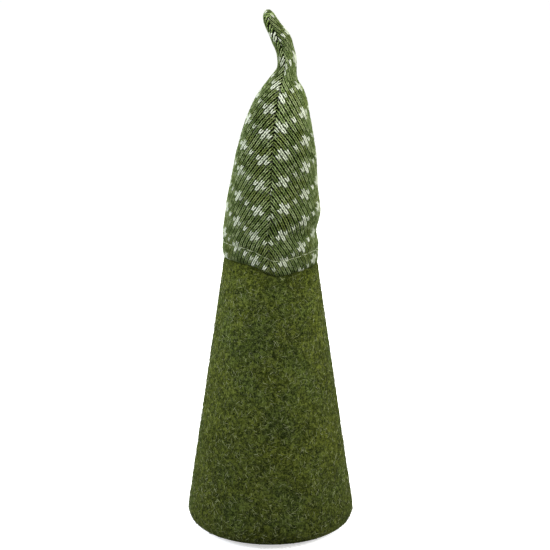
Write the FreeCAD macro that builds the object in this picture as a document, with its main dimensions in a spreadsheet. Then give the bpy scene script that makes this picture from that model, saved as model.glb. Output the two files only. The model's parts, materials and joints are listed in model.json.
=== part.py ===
import FreeCAD, Part
import Sketcher
import math
import os

# Tomte figurine: a weighted, stuffed felt cone on a flat base, with a long knitted hat
# pulled over its top third, a bendable wire in the hat's tip, and a nose and beard in front.
# Frame: origin at the centre of the base's underside, +Z up, face towards -Y. Millimetres.

V = FreeCAD.Vector
doc = FreeCAD.newDocument("tomte_figurine")
sheet = doc.addObject("Spreadsheet::Sheet", "Dims")

# --- driving dimensions: alias, value, note -------------------------------------------
DIMS = [
    ("gap", 0.2, "clearance between soft neighbours"),
    ("layer_gap", 0.1, "clearance between stacked flat layers"),
    ("thread_r", 0.4, "sewing thread radius"),
    # base disc and felt sleeve
    ("disc_t", 2.0, "felt base disc thickness"),
    ("disc_r", 50.0, "felt base disc radius"),
    ("felt_t", 3.0, "felt wall"),
    ("flange_r", 36.0, "inner edge of the sleeve's turned-under hem"),
    ("corner_r", 11.75, "outer radius of the sleeve's bottom corner"),
    ("corner_x", 53.35, "centre of the bottom corner, from the axis"),
    ("side_z", 15.5, "where the bottom corner meets the straight side"),
    ("side_r", 64.97, "sleeve radius at side_z"),
    ("slope", 0.1496, "how fast the side leans in, mm per mm of height"),
    ("waist_z", 203.6, "where the hat starts to squeeze the sleeve"),
    ("felt_b_z", 206.4, "lower end of the upright part under the hat's hem"),
    ("felt_b_r", 31.4, "sleeve radius under the hat's hem"),
    ("felt_c_z", 238.0, "upper end of the upright part"),
    ("felt_d_z", 247.0, "sleeve station d"), ("felt_d_r", 30.6, "radius at d"),
    ("felt_e_z", 262.0, "sleeve station e"), ("felt_e_r", 29.3, "radius at e"),
    ("felt_f_z", 280.0, "sleeve station f"), ("felt_f_r", 25.8, "radius at f"),
    ("felt_g_z", 297.0, "sleeve station g"), ("felt_g_r", 22.0, "radius at g"),
    ("felt_h_z", 308.0, "sleeve station h"), ("felt_h_r", 15.0, "radius at h"),
    ("felt_i_z", 315.0, "sleeve station i"), ("felt_i_r", 8.0, "radius at i"),
    ("felt_top_z", 318.0, "gathered top of the sleeve"),
    ("top_hole_r", 3.2, "opening left by the gathering thread"),
    ("stitch_pitch", 6.0, "pitch of the sleeve's closing stitches"),
    ("stitch_len", 5.0, "length of one closing stitch"),
    ("stitch_count", 15, "number of closing stitches"),
    # inside the sleeve
    ("pad_t", 6.9, "foam pad under the board"),
    ("pad_r", 53.0, "pad radius, before its flared edge"),
    ("board_t", 3.0, "fibreboard base"),
    ("board_r", 61.3, "board radius"),
    ("bag_r", 45.0, "weight bag radius"),
    ("bag_skin", 0.8, "weight bag wall"),
    ("bag_side", 17.7, "height of the bag's side above the board"),
    ("bag_top", 29.4, "height of the bag's neck above the board"),
    ("fill_top", 21.0, "height of the granules above the board"),
    ("tie_r", 0.9, "bag tie string radius"),
    # hat
    ("rim_z", 213.0, "height of the hat's rim plane on the axis"),
    ("rim_slope", 0.19, "rim is lower at the back"),
    ("rim_roll", 4.2, "rim is lower on the -X side, degrees"),
    ("hem_band", 9.5, "folded hem height"),
    ("hem_r", 32.75, "outer radius of the folded-in layer"),
    ("hem_t", 1.0, "folded-in layer thickness"),
    ("hem_thread_r", 0.35, "hem thread radius"),
    ("hat_wall", 2.8, "hat wall"),
    ("top_in_x", -12.6, "opening at the top of the hat's lower part"),
    ("top_in_r", 6.7, "radius of that opening"),
    ("hat_fill_x", -6.9, "centre of the hat stuffing's lower end"),
    ("hat_fill_r", 18.6, "radius of the hat stuffing's lower end"),
    # bend points, tubes and wire of the hat's tip
    ("neck_x", -12.8, "first bend of the hat's wire"), ("neck_z", 352.0, "its height"),
    ("midbend_x", -12.6, "second bend"), ("midbend_z", 363.5, "its height"),
    ("elbow_x", -10.0, "third bend"), ("elbow_z", 376.8, "its height"),
    ("tip_x", 3.0, "end of the tip"), ("tip_z", 400.4, "its height"),
    ("tube_r", 8.0, "tip tube outer radius"),
    ("tube_wall", 1.6, "tip tube wall"),
    ("dome_r", 6.2, "rounded lower end of each tube, nested in the one below"),
    ("dome_wall", 1.2, "wall of the rounded end"),
    ("cut_low", 0.364, "neck end faces, tan 20 degrees"),
    ("cut_mid", 0.306, "middle bend end faces, tan 17 degrees"),
    ("cut_elbow", 0.456, "elbow end faces, tan 24.5 degrees"),
    ("end_gap", 0.4, "bend point to tube end, on the axis"),
    ("wire_r", 0.8, "soft steel wire radius"),
    ("wire_gap", 1.0, "wire ends stop this far from a bend point"),
    ("loop_r", 8.0, "anchor loop radius"),
    ("loop_x", -6.0, "anchor loop centre"),
    ("loop_z", 324.5, "anchor loop height"),
    # nose
    ("nose_r", 11.0, "nose ball radius"),
    ("nose_y", -47.3, "nose ball centre"),
    ("nose_z", 216.0, "nose ball height"),
    ("peg_r", 2.0, "nose peg radius"),
    ("peg_bore", 2.1, "radius of the hole for the peg"),
    ("peg_start", 0.2, "outer end of the peg, inward of the ball's centre"),
    ("peg_end", -24.0, "inner end of the peg"),
    # beard
    ("beard_top", 202.0, "where the beard hangs from"),
    ("beard_low", 112.0, "lowest point of the beard"),
    ("beard_gap", 0.6, "beard to sleeve"),
    ("backing_t", 1.2, "beard backing thickness"),
    ("pile_thin", 1.6, "pile thickness at its top"),
    ("pile_thick", 9.0, "greatest pile thickness"),
    ("beard_arc", 76.0, "angle the beard spans, degrees"),
    ("band_arc", 66.0, "angle the band above the beard spans, degrees"),
    ("band_top", 216.5, "top of the sewn band above the beard"),
]

# Hat stations, bottom to top: tag, height, centre x, outer radius
HAT = [
    ("a", 200, 0.0, 37.2), ("b", 214, 0.0, 36.7), ("c", 224, 0.0, 36.9), ("d", 240, -0.6, 36.1),
    ("f", 262, -2.3, 34.8), ("g", 280, -3.4, 32.5), ("i", 297, -4.4, 30.0),
    ("j", 313, -5.4, 26.6), ("k", 325, -6.6, 23.4), ("l", 334, -7.9, 20.3),
    ("n", 341, -8.8, 16.9), ("o", 346.3, -9.9, 13.3), ("p", 349.3, -11.2, 10.6),
]
for tag, z, x, r in HAT:
    DIMS += [
        ("hat_%s_z" % tag, z, "hat station %s height" % tag),
        ("hat_%s_x" % tag, x, "hat station %s centre" % tag),
        ("hat_%s_r" % tag, r, "hat station %s radius" % tag),
    ]

VALUES = {}
for row, (alias, value, note) in enumerate(DIMS, 1):
    number = "%.6g" % value
    sheet.set("A%d" % row, note)
    sheet.set("B%d" % row, number)
    sheet.setAlias("B%d" % row, alias)
    VALUES[alias] = float(number)
doc.recompute()


class Expr:
    """A size as sheet text and as a number, so sketches start where they end."""

    def __init__(self, text, value):
        self.text, self.value = text, value

    @staticmethod
    def of(x):
        return x if isinstance(x, Expr) else Expr("%.6g" % x, float("%.6g" % x))

    def combine(self, other, sign, function):
        other = Expr.of(other)
        text = "(%s %s %s)" % (self.text, sign, other.text)
        return Expr(text, function(self.value, other.value))

    def __add__(self, other):
        return self.combine(other, "+", lambda a, b: a + b)

    def __radd__(self, other):
        return Expr.of(other) + self

    def __sub__(self, other):
        return self.combine(other, "-", lambda a, b: a - b)

    def __mul__(self, other):
        return self.combine(other, "*", lambda a, b: a * b)

    def __truediv__(self, other):
        return self.combine(other, "/", lambda a, b: a / b)

    def __neg__(self):
        return Expr("(0 - %s)" % self.text, -self.value)


def root(x):
    return Expr("sqrt(%s)" % x.text, math.sqrt(x.value))


def dim(alias):
    return Expr("Dims.%s" % alias, VALUES[alias])


# --- helpers ---------------------------------------------------------------------------
pieces = []


def new_body(label):
    body = doc.addObject("PartDesign::Body", label)
    body.Label = label
    pieces.append(body)
    return body


def origin_part(body, role):
    return next(f for f in body.Origin.OriginFeatures if f.Role == role)


def new_sketch(body, name, role="XZ_Plane"):
    sketch = body.newObject("Sketcher::SketchObject", name)
    sketch.AttachmentSupport = [(origin_part(body, role), "")]
    sketch.MapMode = "FlatFace"
    return sketch


def bind(item, prop, size):
    """Set a property and drive it from the sheet."""
    setattr(item, prop, size.value)
    item.setExpression(prop, size.text)


def place(item, rotation=FreeCAD.Rotation(), **base):
    """Place an object; the base coordinates given (x, y, z) are driven from the sheet."""
    point = V(*[base[axis].value if axis in base else 0 for axis in "xyz"])
    item.Placement = FreeCAD.Placement(point, rotation)
    for axis, size in base.items():
        item.setExpression("Placement.Base." + axis, size.text)


def constrain(sketch, kind, name, refs, size):
    """A named sketch dimension driven from the sheet."""
    index = sketch.addConstraint(Sketcher.Constraint(kind, *refs, size.value))
    sketch.renameConstraint(index, name)
    sketch.setExpression("Constraints." + name, size.text)


def pin(sketch, geo, pos, x, y, tag):
    """Fix one sketch point by its two distances from the origin."""
    constrain(sketch, "DistanceX", tag + "x", (-1, 1, geo, pos), Expr.of(x))
    constrain(sketch, "DistanceY", tag + "y", (-1, 1, geo, pos), Expr.of(y))


def outline(sketch, points, arcs=None, tag="p"):
    """Closed outline; arcs maps a segment's index to (radius, centre x, centre y)."""
    arcs = arcs or {}
    count = len(points)
    points = [(Expr.of(x), Expr.of(y)) for x, y in points]
    first = sketch.GeometryCount
    ends = []
    for i in range(count):
        (ax, ay), (bx, by) = points[i], points[(i + 1) % count]
        start, stop = V(ax.value, ay.value, 0), V(bx.value, by.value, 0)
        if i not in arcs:
            sketch.addGeometry(Part.LineSegment(start, stop), False)
            ends.append((1, 2))
            continue
        radius, cx, cy = [Expr.of(q).value for q in arcs[i]]
        angle_a = math.atan2(start.y - cy, start.x - cx)
        angle_b = math.atan2(stop.y - cy, stop.x - cx)
        turn = (angle_b - angle_a) % (2 * math.pi)
        circle = Part.Circle(V(cx, cy, 0), V(0, 0, 1), radius)
        # arcs always run counter-clockwise, so a clockwise segment swaps its ends
        if turn < math.pi:
            sketch.addGeometry(Part.ArcOfCircle(circle, angle_a, angle_a + turn), False)
            ends.append((1, 2))
        else:
            back = 2 * math.pi - turn
            sketch.addGeometry(Part.ArcOfCircle(circle, angle_b, angle_b + back), False)
            ends.append((2, 1))
    for i in range(count):
        j = (i + 1) % count
        sketch.addConstraint(Sketcher.Constraint(
            "Coincident", first + i, ends[i][1], first + j, ends[j][0]))
    for i, (x, y) in enumerate(points):
        name = "%s%d" % (tag, i)
        pin(sketch, first + i, ends[i][0], x, y, name)
        if i in arcs:
            constrain(sketch, "Radius", name + "r", (first + i,), Expr.of(arcs[i][0]))


def circle_at(sketch, x, y, radius):
    """A circle pinned by its centre and radius."""
    x, y, radius = Expr.of(x), Expr.of(y), Expr.of(radius)
    circle = Part.Circle(V(x.value, y.value, 0), V(0, 0, 1), radius.value)
    sketch.addGeometry(circle, False)
    pin(sketch, 0, 3, x, y, "c")
    constrain(sketch, "Radius", "cr", (0,), radius)


def line_between(sketch, x0, y0, x1, y1):
    x0, y0, x1, y1 = [Expr.of(q) for q in (x0, y0, x1, y1)]
    start, stop = V(x0.value, y0.value, 0), V(x1.value, y1.value, 0)
    sketch.addGeometry(Part.LineSegment(start, stop), False)
    pin(sketch, 0, 1, x0, y0, "a")
    pin(sketch, 0, 2, x1, y1, "b")


def revolve(body, sketch, name, span=None):
    """Revolve about the sketch's vertical axis: all round, or over a span centred on it."""
    turn = body.newObject("PartDesign::Revolution", name)
    turn.Profile = sketch
    turn.ReferenceAxis = (sketch, ["V_Axis"])
    if span is None:
        turn.Angle = 360.0
    else:
        bind(turn, "Angle", span)
        turn.Midplane = True


def turned(label, points, arcs=None, span=None):
    """A body turned about its own Z axis from one closed outline (radius, height)."""
    body = new_body(label)
    sketch = new_sketch(body, label + "_outline")
    outline(sketch, points, arcs)
    revolve(body, sketch, label + "_turned", span)
    return body


def torus(label, ring_r, z, radius):
    body = new_body(label)
    sketch = new_sketch(body, label + "_section")
    circle_at(sketch, ring_r, z, radius)
    revolve(body, sketch, label + "_ring")
    return body


def section(body, name, x, z, radius):
    """A horizontal circle at height z."""
    sketch = new_sketch(body, name, "XY_Plane")
    z = Expr.of(z)
    sketch.AttachmentOffset = FreeCAD.Placement(V(0, 0, z.value), FreeCAD.Rotation())
    sketch.setExpression("AttachmentOffset.Base.z", z.text)
    circle_at(sketch, x, 0, radius)
    return sketch


def loft(body, name, sections, kind="PartDesign::AdditiveLoft"):
    feature = body.newObject(kind, name)
    feature.Profile = sections[0]
    feature.Sections = [(s, [""]) for s in sections[1:]]
    feature.Ruled = False


def pipe(body, name, x0, z0, x1, z1, radius, kind="PartDesign::AdditivePipe"):
    """A straight bar in the XZ plane, swept from a horizontal circle."""
    path = new_sketch(body, name + "_path")
    line_between(path, x0, z0, x1, z1)
    profile = section(body, name + "_section", x0, z0, radius)
    feature = body.newObject(kind, name)
    feature.Profile = profile
    feature.Spine = (path, ["Edge1"])


def pocket(body, name, sketch, length, side=None):
    """Cut a sketch away; side may be "Reversed" or "Midplane"."""
    cut = body.newObject("PartDesign::Pocket", name)
    cut.Profile = sketch
    cut.Length = length
    if side:
        setattr(cut, side, True)


def bore(body, name, z, radius, length, side=None, role="XZ_Plane"):
    """A round hole through the body's Z axis line at height z."""
    sketch = new_sketch(body, name + "_circle", role)
    circle_at(sketch, 0, z, radius)
    pocket(body, name, sketch, length, side)


def side_at(z):
    """Outer radius of the sleeve's straight side at height z."""
    return dim("side_r") - dim("slope") * (Expr.of(z) - dim("side_z"))


# --- shared levels -----------------------------------------------------------------------
disc_t, felt_t, gap, layer_gap = dim("disc_t"), dim("felt_t"), dim("gap"), dim("layer_gap")
thread_r = dim("thread_r")
waist_z = dim("waist_z")
pad_z = disc_t + felt_t + layer_gap
board_z = pad_z + dim("pad_t") + layer_gap
bag_z = board_z + dim("board_t") + layer_gap
bag_side_z = bag_z + dim("bag_side")
bag_neck_z = bag_z + dim("bag_top")
wall_waist_r = side_at(waist_z) - felt_t - 0.4
wall_waist_z = waist_z - 6
FRONT = FreeCAD.Rotation(V(0, 0, 1), -90)  # turns a body's +X to the front, -Y


# --- base and sleeve -----------------------------------------------------------------------
def build_base_disc():
    radius, chamfer = dim("disc_r"), 0.5
    top = disc_t - layer_gap
    turned("felt_base_disc", [
        (0, 0), (radius - chamfer, 0), (radius, chamfer), (radius, top), (0, top)])
    torus("base_seam_thread", radius + 0.6, disc_t - 0.6, thread_r)


# Squeezed top of the sleeve: radius, height, then the shares of an inward offset that
# move the point towards the axis and down
FELT_TOP = [
    ("felt_b_r", "felt_b_z", 1, 0), ("felt_b_r", "felt_c_z", 1, 0),
    ("felt_d_r", "felt_d_z", 1, 0), ("felt_e_r", "felt_e_z", 1, 0),
    ("felt_f_r", "felt_f_z", 1, 0), ("felt_g_r", "felt_g_z", 1, 0.45),
    ("felt_h_r", "felt_h_z", 1, 0.75), ("felt_i_r", "felt_i_z", 0.5, 0.95),
    ("top_hole_r", "felt_top_z", 0, 1),
]


def felt_top(offset):
    return [(dim(r) - offset * inward, dim(z) - offset * down)
            for r, z, inward, down in FELT_TOP]


def build_sleeve():
    """Turned-under hem, round corner, straight side and squeezed top, with its threads."""
    corner_r, corner_x = dim("corner_r"), dim("corner_x")
    side_r, side_z = dim("side_r"), dim("side_z")
    corner_z = disc_t + corner_r
    points = [(dim("flange_r"), disc_t), (corner_x, disc_t), (side_r, side_z),
              (side_at(waist_z), waist_z)]
    points += felt_top(Expr.of(0)) + felt_top(felt_t)[::-1]
    points += [(wall_waist_r, wall_waist_z), (side_r - felt_t, side_z),
               (corner_x, disc_t + felt_t), (dim("flange_r"), disc_t + felt_t)]
    sleeve = turned("felt_sleeve", points, {
        1: (corner_r, corner_x, corner_z),
        len(points) - 3: (corner_r - felt_t, corner_x, corner_z)})
    bore(sleeve, "peg_hole", dim("nose_z"), dim("peg_bore"), 50, "Reversed")  # front wall only
    torus("top_gather_thread", dim("top_hole_r") - 0.9, dim("felt_top_z") - felt_t / 2, thread_r)


def build_sleeve_seam():
    """Closing stitches up the front of the sleeve, below the beard: one bar, repeated."""
    seam = new_body("sleeve_seam_thread")
    first_z = dim("side_z") + 6
    profile = new_sketch(seam, "seam_circle", "YZ_Plane")
    circle_at(profile, -(side_at(first_z) + 0.55), first_z, thread_r)
    bar = seam.newObject("PartDesign::Pad", "seam_bar")
    bar.Profile = profile
    bind(bar, "Length", dim("stitch_len"))
    bar.Midplane = True
    direction = new_sketch(seam, "seam_line", "YZ_Plane")  # follows the side's lean
    line_between(direction, 0, 0, dim("slope") * 100, 100)
    doc.recompute()
    run = seam.newObject("PartDesign::LinearPattern", "seam_run")
    run.Originals = [bar]
    run.Direction = (direction, ["Edge1"])
    bind(run, "Length", dim("stitch_pitch") * (dim("stitch_count") - 1))
    run.Occurrences = int(VALUES["stitch_count"])
    run.setExpression("Occurrences", "Dims.stitch_count")
    seam.Tip = run
    seam.AllowCompound = True


# --- inside the sleeve ---------------------------------------------------------------------
def build_pad_and_board():
    pad_r, pad_top = dim("pad_r"), pad_z + dim("pad_t")
    turned("base_pad", [
        (0, pad_z), (pad_r - 1.5, pad_z), (pad_r + 5.4, pad_z + 3.2),
        (pad_r + 7.8, pad_top), (0, pad_top)])
    board_r, board_top, chamfer = dim("board_r"), board_z + dim("board_t"), 0.5
    turned("base_board", [
        (0, board_z), (board_r - chamfer, board_z), (board_r, board_z + chamfer),
        (board_r - 0.2, board_top), (0, board_top)])


def build_weight():
    """Tied bag on the board, and the granules in it."""
    radius, skin = dim("bag_r"), dim("bag_skin")
    shoulder_r = 20
    shoulder_z = bag_neck_z - 1.2
    pinch_z = bag_neck_z + 1.6
    turned("weight_bag", [
        # outside, from the bottom up to the flared mouth
        (0, bag_z), (radius - 3, bag_z), (radius, bag_z + 3), (radius, bag_side_z),
        (radius - 7, bag_side_z + 7), (shoulder_r, shoulder_z), (5, bag_neck_z),
        (4.4, pinch_z), (6.2, bag_neck_z + 5.5),
        # inside, back down
        (5.3, bag_neck_z + 5.8), (3.4, pinch_z), (4.3, bag_neck_z - skin),
        (shoulder_r, shoulder_z - skin), (radius - 7.4, bag_side_z + 7 - skin),
        (radius - skin, bag_side_z - 0.3), (radius - skin, bag_z + 3.3),
        (radius - 3.3, bag_z + skin), (0, bag_z + skin)])
    fill_r = radius - skin - gap
    fill_z, fill_top = bag_z + skin + gap, bag_z + dim("fill_top")
    turned("weight_fill", [
        (0, fill_z), (radius - 3.5, fill_z), (fill_r, bag_z + 3.6),
        (fill_r, bag_side_z - 1.2), (radius - 8, fill_top - 0.6), (0, fill_top)])
    neck_r, clearance = 4.45, 0.5
    torus("bag_tie", neck_r + dim("tie_r") + clearance, bag_neck_z + 1.7, dim("tie_r"))


def build_body_stuffing():
    """Fills the sleeve around and above the bag."""
    bag_r = dim("bag_r")
    side_r = dim("side_r") - felt_t - gap
    points = [(bag_r + 1, bag_z), (side_r - 0.6, bag_z), (side_r - 0.1, bag_z + 1.5),
              (wall_waist_r - gap, wall_waist_z)]
    points += felt_top(felt_t + gap)[:-1]
    points += [(0, dim("felt_i_z") - felt_t - 1.4), (0, bag_neck_z + 7.5),
               (7.6, bag_neck_z + 6.5), (8.2, bag_neck_z + 2.5),
               (bag_r - 6, bag_side_z + 8.5), (bag_r + 1, bag_side_z + 0.6)]
    stuffing = turned("body_stuffing", points)
    bore(stuffing, "stuffing_peg_hole", dim("nose_z"), dim("peg_bore"), 32, "Reversed")


# --- hat -----------------------------------------------------------------------------------
def station(tag):
    return [dim("hat_%s_%s" % (tag, part)) for part in "xzr"]


def slanted_cut(body, name, lift, far):
    """Remove all between the slanted rim plane, lifted, and a level far below or above it."""
    sketch = new_sketch(body, name + "_line", "YZ_Plane")
    z = dim("rim_z") + lift
    roll = FreeCAD.Rotation(V(1, 0, 0), -VALUES["rim_roll"])
    sketch.AttachmentOffset = FreeCAD.Placement(V(0, z.value, 0), roll)
    sketch.setExpression("AttachmentOffset.Base.y", z.text)
    reach, slope = 60, dim("rim_slope")
    outline(sketch, [
        (-reach, slope * reach), (reach, slope * -reach), (reach, far), (-reach, far)])
    pocket(body, name, sketch, 200, "Midplane")


BELOW, ABOVE = -60, 160  # far levels for slanted_cut, from the rim plane


def build_hat_shell():
    hat = new_body("hat_shell")
    tags = [row[0] for row in HAT]
    loft(hat, "hat_outer", [section(hat, "hat_out_" + tag, *station(tag)) for tag in tags])
    inner = []
    for tag in tags[:-1]:
        x, z, radius = station(tag)
        inner.append(section(hat, "hat_in_" + tag, x, z, radius - dim("hat_wall")))
    inner.append(section(hat, "hat_in_p", dim("top_in_x"), dim("hat_p_z"), dim("top_in_r")))
    loft(hat, "hat_inner", inner, "PartDesign::SubtractiveLoft")
    slanted_cut(hat, "hat_rim", 0, BELOW)


def build_hem():
    """Folded-in layer: a ring between two slanted planes."""
    outer_r, low, high, lift = dim("hem_r"), 198, 240, 0.6
    inner_r = outer_r - dim("hem_t")
    hem = turned("hat_hem", [(inner_r, low), (outer_r, low), (outer_r, high), (inner_r, high)])
    slanted_cut(hem, "hem_low", lift, BELOW)
    slanted_cut(hem, "hem_high", dim("hem_band") + lift, ABOVE)


def build_hem_thread():
    """The hem's running stitch, a thread round the outside in the slanted plane."""
    minor = dim("hat_c_r") + 0.75
    slope = dim("rim_slope")
    path = doc.addObject("Part::Ellipse", "hem_thread_path")
    bind(path, "MajorRadius", minor * root(1 + slope * slope))
    bind(path, "MinorRadius", minor)
    roll = FreeCAD.Rotation(V(0, 1, 0), -VALUES["rim_roll"])
    tilt = FreeCAD.Rotation(V(1, 0, 0), -math.degrees(math.atan(slope.value)))
    quarter = FreeCAD.Rotation(V(0, 0, 1), 90)  # puts the long axis front to back
    place(path, roll.multiply(tilt).multiply(quarter), z=dim("rim_z") + dim("hem_band"))
    ring = doc.addObject("Part::Circle", "hem_thread_section")
    bind(ring, "Radius", dim("hem_thread_r"))
    doc.recompute()
    at_start = FreeCAD.Placement(
        V(path.MajorRadius.Value, 0, 0), FreeCAD.Rotation(V(1, 0, 0), 90))
    ring.Placement = path.Placement.multiply(at_start)
    sweep = doc.addObject("Part::Sweep", "hem_stitch_thread")
    sweep.Sections = [ring]
    sweep.Spine = (path, ["Edge1"])
    sweep.Solid = True
    sweep.Frenet = True
    sweep.Label = "hem_stitch_thread"
    pieces.append(sweep)


def build_hat_stuffing():
    """Fills the hat above the anchor loop, bored for the wire."""
    stuffing = new_body("hat_stuffing")
    wall = dim("hat_wall")
    mid_x, mid_z, mid_r = station("l")
    end_x, end_z, end_r = station("n")
    loft(stuffing, "hat_fill", [
        section(stuffing, "fill_low", dim("hat_fill_x"), dim("loop_z") + 2.0, dim("hat_fill_r")),
        section(stuffing, "fill_mid", mid_x, mid_z, mid_r - wall - 0.8),
        section(stuffing, "fill_end", end_x - 0.2, end_z + 1.5, end_r - wall - 1.6)])
    pipe(stuffing, "fill_bore", dim("loop_x") - dim("loop_r"), dim("loop_z"),
         dim("neck_x"), dim("neck_z"), dim("wire_r") + 0.3, "PartDesign::SubtractivePipe")


# --- hat tip: tubes and wires between the bend points ----------------------------------------
def build_wire_stem():
    """Anchor loop and stem, centred on the loop."""
    stem = torus("hat_wire_stem", dim("loop_r"), dim("loop_z"), dim("wire_r"))
    pipe(stem, "stem_bar", -dim("loop_r"), dim("loop_z"), dim("neck_x") - dim("loop_x"),
         dim("neck_z") - dim("wire_gap"), dim("wire_r"))
    place(stem, x=dim("loop_x"))


def distance(start, end):
    """Distance between two bend points."""
    dx = dim(end + "_x") - dim(start + "_x")
    dz = dim(end + "_z") - dim(start + "_z")
    return root(dx * dx + dz * dz)


def stand(body, start, end):
    """Put a body's local Z axis on the line from one bend point to another."""
    x, z = dim(start + "_x"), dim(start + "_z")
    lean = math.degrees(math.atan2(
        VALUES[end + "_x"] - x.value, VALUES[end + "_z"] - z.value))
    place(body, FreeCAD.Rotation(V(0, 1, 0), lean), x=x, z=z)


def domed_tube(label, start, end, cut, opening, wall_points):
    """A tube with a nested lower end: a hollow ball zone about the bend point.

    The ball is open below for the wire, over a half angle in degrees; its outside ends
    on the tube's conical lower face, whose slope is cut."""
    ball_r, end_gap = dim("dome_r"), dim("end_gap")
    bore_r = ball_r - dim("dome_wall")
    sine, cosine = math.sin(math.radians(opening)), math.cos(math.radians(opening))
    # where the ball's outside meets the cone z = end_gap + cut * r
    factor = 1 + cut * cut
    under_root = end_gap * end_gap * cut * cut - factor * (end_gap * end_gap - ball_r * ball_r)
    meet_r = (root(under_root) - end_gap * cut) / factor
    points = [(bore_r * sine, bore_r * -cosine), (ball_r * sine, ball_r * -cosine),
              (meet_r, end_gap + meet_r * cut)]
    points += wall_points + [(bore_r, 0)]
    arcs = {1: (ball_r, 0, 0), len(points) - 1: (bore_r, 0, 0)}
    stand(turned(label, points, arcs), start, end)


def tube(label, start, end, cut_a, cut_b, radius_a, radius_b):
    """A short knitted tube; both end faces are cones that leave room to bend."""
    end_gap, wall = dim("end_gap"), dim("tube_wall")
    cut_a, cut_b = dim(cut_a), dim(cut_b)
    top = distance(start, end) - end_gap
    low_z = end_gap + radius_a * cut_a
    inner_b = radius_b - wall
    domed_tube(label, start, end, cut_a, 50, [
        (radius_a, low_z), (radius_b, top - radius_b * cut_b),
        (inner_b, top - inner_b * cut_b), (radius_a - wall, low_z + 1.2),
        (dim("dome_r") - dim("dome_wall"), low_z - 0.6)])


def wire(label, start, end, stop):
    """A wire between bend points that ends a distance stop short of the second."""
    radius, low, chamfer = dim("wire_r"), dim("wire_gap"), 0.3
    high = distance(start, end) - stop
    body = turned(label, [
        (0, low), (radius - chamfer, low), (radius, low + chamfer),
        (radius, high - chamfer), (radius - chamfer, high), (0, high)])
    stand(body, start, end)


def build_tip():
    """The closed last tube, its wire and the thread that gathers its end."""
    length, radius, cut = distance("elbow", "tip"), dim("tube_r"), dim("cut_elbow")
    domed_tube("hat_tip", "elbow", "tip", cut, 58, [
        # outside, up to the rounded end
        (radius, dim("end_gap") + radius * cut), (radius - 0.4, length - 16),
        (radius - 1.2, length - 11), (radius - 2.2, length - 6), (radius - 3.9, length - 2),
        (radius - 5.9, length - 0.4), (0, length),
        # inside, back down
        (0, length - 4.0), (radius - 3.9, length - 7.5),
        (dim("dome_r") - dim("dome_wall"), length - 12)])
    wire("tip_wire", "elbow", "tip", 8.5)
    tie = torus("tip_gather_thread", radius - 3.0 + 0.7, length - 4.0, thread_r)
    stand(tie, "elbow", "tip")


def build_hat_joints():
    tube_r, wire_gap = dim("tube_r"), dim("wire_gap")
    tube("hat_neck_tube", "neck", "midbend", "cut_low", "cut_mid", tube_r + 0.3, tube_r)
    wire("neck_wire", "neck", "midbend", wire_gap)
    tube("hat_middle_tube", "midbend", "elbow", "cut_mid", "cut_elbow", tube_r, tube_r)
    wire("middle_wire", "midbend", "elbow", wire_gap)


# --- nose ----------------------------------------------------------------------------------
def build_nose():
    """Ball with a blind bore from its centre towards the sleeve."""
    nose = new_body("nose_ball")
    sketch = new_sketch(nose, "nose_outline")
    radius = VALUES["nose_r"]
    circle = Part.Circle(V(0, 0, 0), V(0, 0, 1), radius)
    sketch.addGeometry(Part.LineSegment(V(0, -radius, 0), V(0, radius, 0)), False)
    sketch.addGeometry(Part.ArcOfCircle(circle, -math.pi / 2, math.pi / 2), False)
    for refs in [(0, 1, 1, 1), (0, 2, 1, 2), (1, 3, -1, 1)]:
        sketch.addConstraint(Sketcher.Constraint("Coincident", *refs))
    sketch.addConstraint(Sketcher.Constraint("Vertical", 0))
    constrain(sketch, "Radius", "ball", (1,), dim("nose_r"))
    revolve(nose, sketch, "nose_turned")
    bore(nose, "nose_bore", 0, dim("peg_bore") - 0.05, 20)
    place(nose, y=dim("nose_y"), z=dim("nose_z"))


def build_peg():
    peg = new_body("nose_peg")
    sketch = new_sketch(peg, "peg_circle")
    circle_at(sketch, 0, 0, dim("peg_r"))
    bar = peg.newObject("PartDesign::Pad", "peg_bar")
    bar.Profile = sketch
    bind(bar, "Length", dim("peg_end") - dim("nose_y") - dim("peg_start"))
    bar.Reversed = True
    place(peg, y=dim("nose_y") + dim("peg_start"), z=dim("nose_z"))


# --- beard: a cloth backing and its long pile, both curved round the sleeve's front -----------
beard_top, beard_low = dim("beard_top"), dim("beard_low")
beard_gap, backing_t = dim("beard_gap"), dim("backing_t")
lip_r = side_at(waist_z) + beard_gap + backing_t + 0.4  # widest part of the band


def beard_piece(label, points):
    body = turned(label, points, span=dim("beard_arc"))
    # both lower corners come off, which leaves a rounded point
    corners = new_sketch(body, label + "_corners", "YZ_Plane")
    under, shoulder = beard_low - 2, beard_top - 28
    for tag, sign in [("right", 1), ("left", -1)]:
        outline(corners, [
            (sign * 7, under), (sign * 70, under), (sign * 70, shoulder),
            (sign * 31, shoulder), (sign * 27, beard_low + 30), (sign * 18, beard_low + 9),
        ], tag=tag)
    pocket(body, label + "_trim", corners, 300, "Midplane")
    place(body, FRONT)


def build_beard():
    top_r, low_r = side_at(beard_top) + beard_gap, side_at(beard_low) + beard_gap
    beard_piece("beard_backing", [
        (top_r, beard_top), (low_r, beard_low),
        (low_r + backing_t, beard_low), (top_r + backing_t, beard_top)])
    root_gap = beard_gap + backing_t + 0.1
    thick = root_gap + dim("pile_thick")
    pile_top, pile_low = beard_top - 0.5, beard_low + 0.5
    bulge_z = beard_top - 26
    beard_piece("beard_pile", [
        (side_at(pile_top) + root_gap, pile_top), (side_at(beard_low) + root_gap, pile_low),
        (side_at(beard_low) + root_gap + 2.5, pile_low),
        (side_at(beard_low + 30) + thick - 1.5, beard_low + 28),
        (side_at(bulge_z) + thick, bulge_z),
        (side_at(pile_top) + root_gap + dim("pile_thin"), pile_top)])


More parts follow.
